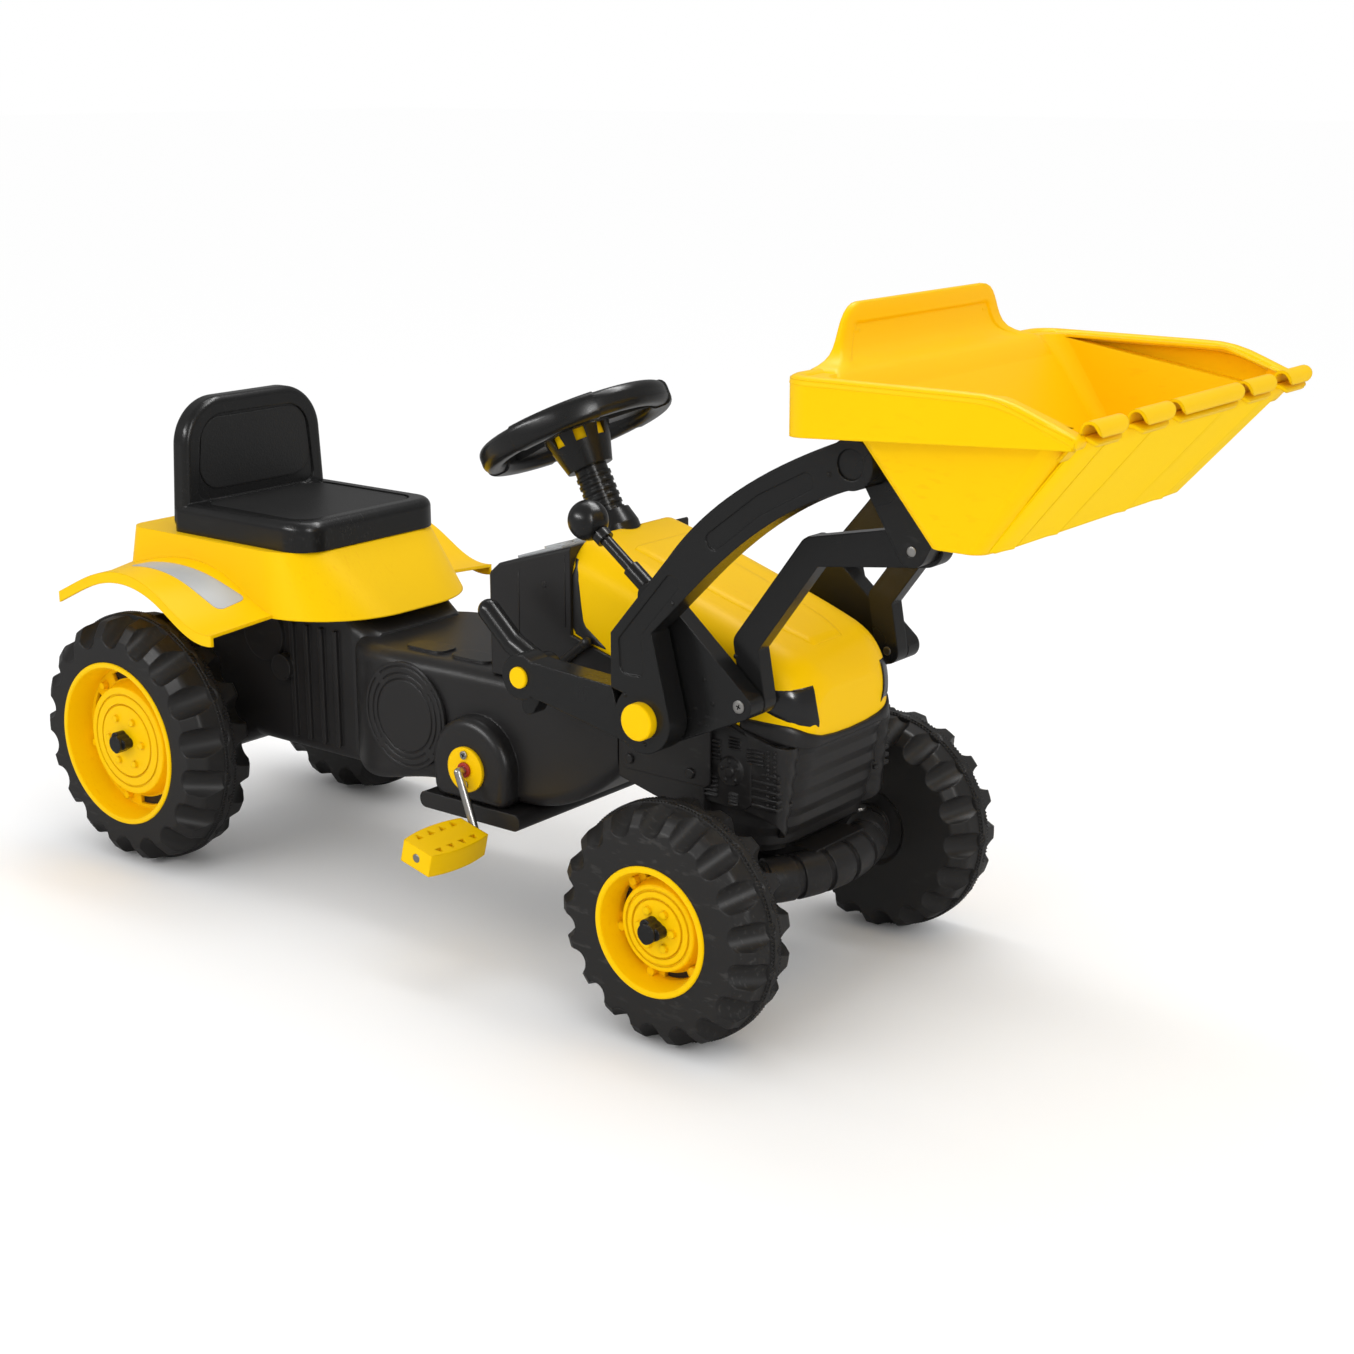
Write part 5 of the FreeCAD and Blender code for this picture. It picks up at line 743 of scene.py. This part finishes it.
# %% Cheeks round the nose's corners
cheek_plan = [(897.0, 108.6), (912.0, 109.6), (926.0, 109.6), (935.0, 108.2), (942.0, 104.5), (946.5, 98.5),
              (948.5, 90.0), (946.5, 80.0), (941.0, 69.0), (933.0, 59.0)]
cheek_low = [229.0, 227.0, 223.0, 219.0, 214.0, 209.0, 204.0, 200.0, 197.0, 195.0]
cheek_wall, rib_height, rib_from, rib_pitch = 0.006, 1.3, 188.6, 21.14
last_point = len(cheek_plan) - 1
cheek = bmesh.new()
rows = []
for share in between(0.0, 1.0, 41):
    row = []
    for index, (x, y) in enumerate(cheek_plan):
        x_from, y_from = cheek_plan[max(index - 1, 0)]
        x_to, y_to = cheek_plan[min(index + 1, last_point)]
        facing = Vector((y_from - y_to, x_from - x_to, 0.0)).normalized()
        z = cheek_low[index] + (hood_edge(x) - 0.6 - cheek_low[index]) * share
        lean_in = (300.0 - z) * (0.02 + 0.14 * index / last_point)
        wave = rib_height * math.cos(math.tau * (z - rib_from) / rib_pitch) * held((index - 4) / 4)
        place = spot(x, -y, z) + facing * ((wave - lean_in) / 1000)
        row.append((place, place - facing * cheek_wall))
    rows.append(row)
add_shell(cheek, rows)
cheek_skin = BVHTree.FromBMesh(cheek)
mirror_over(cheek)
hand_over("nose_cheeks", cheek, "black_satin", "chassis")
print("cheeks are bent through", len(cheek_plan), "upright lines")

# %% [markdown]
# ## Engine flanks
# Between the loader and the ribbed nose, a toy engine is moulded in low relief: cooling fins in blocks, a
# round pump with bolts, short stacks of ribs above and below it, and two columns of rivets at the nose's
# corner. The relief stands on a flat flank plate. It is built for the right side and mirrored to the
# left. A fin block has its middle, its length, its lowest fin, its pitch and its number of fins.

# %% Flank plates with fins, pump and rivets
flank_outline = [(833.0, 232.0), (896.0, 229.5), (906.0, 238.0), (906.0, 312.0), (833.0, 332.0)]
fin_blocks = [(850.0, 32.0, 282.5, 4.7, 5), (848.0, 28.0, 239.5, 5.3, 5), (885.0, 15.0, 297.0, 3.6, 4),
              (883.5, 12.0, 234.5, 3.6, 4), (912.0, 22.0, 285.5, 4.4, 4)]
pump_x, pump_z, bolt_circle, bolt_count = 880.0, 271.0, 11.2, 5
rivet_rows, rivet_pitch, rivet_radius = 13, 5.0, 0.0019
flank = bmesh.new()
plate(flank, [spot(x, -105.0, z) for x, z in flank_outline], to_right * 0.0042)
for fin_x, fin_long, fin_from, fin_pitch, fin_count in fin_blocks:
    fin_size = (fin_long / 1000, 0.0026, fin_pitch / 1900)
    for index in range(fin_count):
        bar(flank, spot(fin_x, -110.2, fin_from + fin_pitch * index), fin_size)
soften(flank, flank.edges[:], 0.0006)
stud(flank, spot(pump_x, -110.8, pump_z), 0.0165, 0.015, 0.0036, segments=40)
stud(flank, spot(pump_x, -113.4, pump_z), 0.0060, 0.0052, 0.0020)
for index in range(bolt_count):
    angle = math.tau * index / bolt_count + 0.4
    bolt_x, bolt_z = pump_x + bolt_circle * math.cos(angle), pump_z + bolt_circle * math.sin(angle)
    stud(flank, spot(bolt_x, -113.3, bolt_z), 0.0024, 0.0019, 0.0016, segments=12)
for screw_x in (746.0, 830.0):
    stud(flank, spot(screw_x, -116.4, 260.0), 0.0062, 0.0052, 0.0030)
for column_x in (928.0, 936.5):
    for index in range(rivet_rows):
        gap = 4.0 if index > 5 else 0.0
        aim_at = spot(column_x, -109.0, 237.5 + rivet_pitch * index + gap)
        seat = cheek_skin.ray_cast(camera.location, (aim_at - camera.location).normalized())[0]
        bmesh.ops.create_icosphere(flank, subdivisions=2, radius=rivet_radius,
                                   matrix=Matrix.Translation(seat))
mirror_over(flank)
hand_over("engine_flanks", flank, "black_satin", "chassis")
print("engine flanks have", sum(block[4] for block in fin_blocks), "fins a side")

# %% [markdown]
# ## Bucket guard
# The bucket's back wall runs on above the rim as a guard, so that a full load doesn't spill over the
# loader arms. On the toy it is one curved sheet: it leans up from the wall, flares out into the rim at
# its feet and has a shallow sunken field. The sheet is built in level rows, each with its place, its
# height and its half width.

# %% Curved guard above the bucket's back wall
guard_rows = [
    (1034.0, 776.0, 117.0), (1035.4, 775.0, 124.0), (1036.0, 772.0, 131.0), (1036.0, 767.0, 137.0),
    (1036.0, 761.0, 141.5), (1036.0, 757.5, 143.5), (1036.2, 755.5, 144.5), (1036.4, 750.0, 147.0),
    (1037.4, 742.0, 150.5), (1039.2, 735.0, 154.5), (1042.5, 729.0, 160.0), (1047.5, 724.5, 168.0),
    (1053.5, 721.0, 179.0), (1059.5, 718.6, 191.0), (1064.4, 714.0, 197.0), (1069.0, 707.0, 199.0),
    (1074.6, 698.4, 200.0), (1077.6, 692.0, 200.0)]
guard_insets = [0.0, 1.2, 4.0, 12.0, 19.0, 21.5]
guard_foot, guard_back, edge_round = 718.0, 1029.4, 2.2
field_depth, field_top, field_low = 1.8, 756.5, 716.0
rows = []
for x, z, half in guard_rows:
    field_half = half - guard_insets[-1]
    across = [(inset - half, inset) for inset in guard_insets]
    across += [(field_half * step / 6, guard_insets[-1]) for step in range(-5, 6)]
    across += [(half - inset, inset) for inset in guard_insets[::-1]]
    sunk = field_depth * held(field_top - z) * held((z - field_low) / 12.0)
    upright = z > guard_foot
    row = []
    for y, inset in across:
        edge = max(0.0, edge_round - inset) * (1.0 if upright else 1.6)
        deep = edge + (sunk if inset > 20.0 else 0.0)
        behind = spot(guard_back, y, z) if upright else spot(x - 5.0, y, z - 4.0)
        row.append((spot(x - deep, y, z), behind))
    rows.append(row)
guard = bmesh.new()
add_shell(guard, rows)
bucket_body = body_of(nodes["bucket"])[0]
hand_over("bucket_guard", guard, "yellow_gloss", bucket_body)
print("guard stands", round(guard_rows[0][1] - guard_foot), "mm above its feet")

# %% [markdown]
# ## Bucket rim
# The rim's top isn't flat on the toy: it is a round bead, level along the sides, which falls in a smooth
# curve to the tips beside the teeth. The bead is one round section, carried from the tip along the side
# and round the corner to the guard's foot.

# %% Round bead along the bucket's rim
bead_heights = [(1030.0, 720.0), (1225.0, 720.6), (1246.0, 720.2), (1262.0, 718.0), (1278.0, 713.8),
                (1294.0, 707.8), (1310.0, 701.6), (1325.0, 695.8), (1336.0, 691.0)]
bead_section = [(-9.2, -6.0), (-7.6, -2.6), (-4.6, -0.7), (-1.0, 0.0), (3.0, -0.3), (6.0, -1.7), (8.0, -4.4),
                (8.6, -8.0)]
bead_wall, bead_inside, bead_side, corner_x, corner_radius = 4.0, 0.6, 238.0, 1060.0, 22.0
bead_route = [(1336.0 - 4.0 * step, bead_side, 90.0) for step in range(32)]
bead_route += [(1210.0 - 30.0 * step, bead_side, 90.0) for step in range(6)]
for degrees in between(90.0, 180.0, 10):
    angle = math.radians(degrees)
    y = bead_side - corner_radius + corner_radius * math.sin(angle)
    bead_route.append((corner_x + corner_radius * math.cos(angle), y, degrees))
bead_route.append((corner_x - corner_radius, 190.0, 180.0))
rows = []
for x, y, degrees in bead_route:
    away = Vector((math.cos(math.radians(degrees)), math.sin(math.radians(degrees)), 0.0))
    row = []
    for out, height in bead_section:
        z = from_table(bead_heights, x) + height
        inside = spot(x, y, z - bead_wall) + away * (out * bead_inside / 1000)
        row.append((spot(x, y, z) + away * (out / 1000), inside))
    rows.append(row)
bead = bmesh.new()
add_shell(bead, rows)
mirror_over(bead)
hand_over("bucket_rim_bead", bead, "yellow_gloss", bucket_body)
print("bead runs through", len(bead_route), "places on each side")

# %% [markdown]
# ## Bucket front
# Narrow grooves part the bucket's front panel into five fields, one below each tooth. The panel is a
# sheet that follows the slope of the CAD bucket's front from its foot to the lip, and a groove is a step
# in its outline.

# %% Grooved front panel
# The panel's finish is the warm yellow made brighter. This is painted light, making up for the light the
# forward- and down-facing panel lacks under the bucket. It has almost no shine, so it doesn't mirror the dim
# floor.
painted_light_panel_yellow = moulded(
    "bucket_front_painted_light_yellow", [(0.98, 0.62, 0.0005), (0.99, 0.65, 0.001), (0.96, 0.60, 0.001)],
    0.4, 0.5, 900.0, 0.00006, shine=0.02)
panel_foot, panel_lip = spot(1228.0, 0.0, 568.0), spot(1322.0, 0.0, 677.0)
panel_way = (panel_lip - panel_foot).normalized()
panel_out = Vector((panel_way.z, 0.0, -panel_way.x))
panel_length = (panel_lip - panel_foot).length * 1000
panel_wall, lip_lift = 0.0026, 0.2
groove_shares = (-0.74, -0.34, 0.34, 0.74)
groove_outline = [(-0.10, 3.0), (-0.015, 4.2), (-0.013, 0.2), (0.010, 0.2), (0.012, 3.0)]
panel_outline = [(-0.95, -0.6), (-0.91, 2.6)]
for share in groove_shares:
    panel_outline += [(share + beside, lift) for beside, lift in groove_outline]
panel_outline += [(0.91, 2.6), (0.95, -0.6)]
panel_lines = [3.0] + between(6.0, panel_length + 11.0, 11) + [panel_length + 15.0]
rows = []
for along in panel_lines:
    half = 205.0 + 23.0 * min(along / panel_length, 1.0)
    row = []
    for share, lift in panel_outline:
        place = panel_foot + panel_way * (along / 1000) + Vector((0.0, half * share / 1000, 0.0))
        stand = lip_lift if along == panel_lines[-1] else lift
        row.append((place + panel_out * (stand / 1000), place - panel_out * panel_wall))
    rows.append(row)
front_panel = bmesh.new()
add_shell(front_panel, rows)
hand_over("bucket_front_panel", front_panel, "yellow_gloss", bucket_body, painted_light_panel_yellow)
print("front panel has", len(groove_shares), "grooves")

# %% [markdown]
# ## Bucket teeth
# Each tooth is a tongue of the lip which curls outward and over, so the toy has the look of digging teeth
# without a sharp edge. The curl is drawn as short pieces, each with a length and a turn, and every tooth
# is a sheet along it that narrows at its end. A rounded block closes the rim's tip on each side.

# %% Curled teeth and rim tips
tooth_spans = [(-229.0, -173.0), (-142.0, -81.0), (-67.0, 67.0), (81.0, 142.0), (173.0, 229.0)]
tooth_trims = (9.0, 5.0, 2.6, 1.2, 0.4)
tooth_outside, tooth_inside = 0.0006, -0.0024
turns = [(12.0, 0.0)] * 2 + [(3.0, 9.0)] * 3 + [(3.0, 3.0)] + [(1.9, -15.0)] * 13
heading = math.atan2(panel_way.z, panel_way.x)
curve = [(panel_lip - panel_way * 0.012, heading)]
for length, turn in turns:
    heading += math.radians(turn)
    forward = Vector((math.cos(heading), 0.0, math.sin(heading))) * (length / 1000)
    curve.append((curve[-1][0] + forward, heading))
teeth = bmesh.new()
for y_from, y_to in tooth_spans:
    rows = []
    for index, (place, facing) in enumerate(curve):
        to_end = len(curve) - 1 - index
        trim = tooth_trims[to_end] if to_end < len(tooth_trims) else 0.0
        out = Vector((math.sin(facing), 0.0, -math.cos(facing)))
        line = [place + Vector((0.0, y / 1000, 0.0)) for y in between(y_from + trim, y_to - trim, 9)]
        rows.append([(point + out * tooth_outside, point + out * tooth_inside) for point in line])
    add_shell(teeth, rows)
tip_turn = Matrix.Rotation(math.radians(19.6), 4, "Y")
for side in sides.values():
    tip = bar(teeth, spot(1320.0, side * 234.8, 690.4), (0.036, 0.023, 0.012), tip_turn)
    soften(teeth, list({edge for corner in tip for edge in corner.link_edges}), 0.004, segments=3)
hand_over("bucket_teeth", teeth, "yellow_gloss", bucket_body)
tooth_rise = max(place.z for place, facing in curve) - panel_lip.z
print("teeth rise", round(tooth_rise * 1000), "mm above the lip")

# %% [markdown]
# ## Screws and dimples
# The toy is put together with cross-head screws. A cross is two slots pressed into the head. Here it is two
# thin dark bars set on the head, and their dark colour is painted shade for the shadow inside the slots.
# Round dimples on the arms and plates are where the mould's ejector pins pushed them out. Each is a low disc
# with a button in its middle.

# %% Crosses in the screw heads, dimples on the loader
cross_places = {"housing_screws": [(520.0, 226.0), (520.0, 190.0)], "link_pins": [(928.2, 363.1)]}
dimple_places = {
    "boom_right": [(807.7, 362.7), (833.5, 313.8), (1057.3, 623.3), (870.0, 470.0)],
    "tilt_plates": [(895.0, 360.0), (872.0, 352.0), (884.0, 384.0)],
    "tilt_links": [(905.3, 407.3)]}
# The cross bars barely stand off the heads. Their dark finish is painted shade for the insides of the slots.
slot_shade_bar = (0.0058, 0.0005, 0.0013)
for node, places in cross_places.items():
    slot_shade_crosses = bmesh.new()
    for x, z in places:
        for degrees in (20, 110):
            bar(slot_shade_crosses, right_face(node, x, z), slot_shade_bar, Matrix.Rotation(math.radians(degrees), 4, "Y"))
    mirror_over(slot_shade_crosses)
    hand_over(f"{node}_crosses", slot_shade_crosses, "black_gloss", body_of(nodes[node])[0])
for node, places in dimple_places.items():
    rings = bmesh.new()
    for x, z in places:
        seat = right_face(node, x, z)
        stud(rings, seat, 0.0030, 0.0026, 0.0007, segments=20)
        stud(rings, seat + to_right * 0.0003, 0.0015, 0.0009, 0.0012, segments=16)
    mirror_over(rings)
    hand_over(f"{node}_dimples", rings, "black_gloss", body_of(nodes[node])[0])
cross_count, dimple_count = [2 * sum(map(len, table.values())) for table in (cross_places, dimple_places)]
print("crosses in", cross_count, "heads, dimples at", dimple_count, "places")

# %% [markdown]
# ## Steering wheel grips
# The wheel's rim is thicker where the three spokes meet it, so that small hands find them. Each thick
# part is a rounded section spun round the column's axis through 54 degrees, slightly larger than the rim
# it covers.

# %% Thick grips on the steering rim
grip_arc, grip_steps, column_lean = 54.0, 14, 27.4
wheel_low, wheel_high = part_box("steering_wheel")
wheel_middle = spot(574.0, 0.0, 594.0)
wheel_turn = Matrix.Translation(wheel_middle) @ Matrix.Rotation(-math.radians(column_lean), 4, "Y")
grip_section = rounded([(88.0, -15.2), (116.0, -15.2), (116.0, 15.2), (88.0, 15.2)], 9.0, 4)
grips = bmesh.new()
for spoke in (60.0, 180.0, 300.0):
    start = Matrix.Rotation(math.radians(spoke - grip_arc / 2), 4, "Z")
    ring = [grips.verts.new(start @ Vector((out / 1000, 0.0, up / 1000))) for out, up in grip_section]
    face = grips.faces.new(ring)
    spun = bmesh.ops.spin(grips, geom=list(face.edges), cent=(0, 0, 0), axis=(0, 0, 1), dvec=(0, 0, 0),
                          steps=grip_steps, angle=math.radians(grip_arc), space=Matrix.Identity(4),
                          use_duplicate=False)
    end_edges = [part for part in spun["geom_last"] if isinstance(part, bmesh.types.BMEdge)]
    bmesh.ops.contextual_create(grips, geom=end_edges)
bmesh.ops.transform(grips, matrix=wheel_turn, verts=grips.verts[:])
hand_over("steering_grips", grips, "black_gloss", body_of(nodes["steering_wheel"])[0])
print("grips on a wheel", round((wheel_high.y - wheel_low.y) * 1000), "mm wide")

# %% [markdown]
# ## Console details
# The console's sides carry two upright creases, a dimple, and a short rod with rounded ends that braces
# the console's foot against the hood. The creases are thin strips, the rod is a round bar with a ball at
# each end.

# %% Creases, dimples and braces on the console
brace_radius, ball_radius = 0.0052, 0.0062
console = bmesh.new()
for x, low, high in ((579.0, 340.0, 448.0), (648.0, 392.0, 474.0)):
    bar(console, right_face("dashboard", x, (low + high) / 2), (0.0014, 0.0010, (high - low) / 1000))
soften(console, console.edges[:], 0.0003)
stud(console, right_face("dashboard", 617.6, 436.2), 0.0042, 0.0034, 0.0010)
brace_low, brace_high = spot(645.0, -113.5, 351.0), spot(683.0, -112.5, 381.0)
brace = brace_high - brace_low
stud(console, (brace_low + brace_high) / 2, brace_radius, brace_radius, brace.length, direction=brace)
for end in (brace_low, brace_high):
    bmesh.ops.create_uvsphere(console, u_segments=20, v_segments=12, radius=ball_radius,
                              matrix=Matrix.Translation(end))
mirror_over(console)
hand_over("console_details", console, "black_satin", "chassis")
print("console braces", round(brace.length * 1000), "mm long")
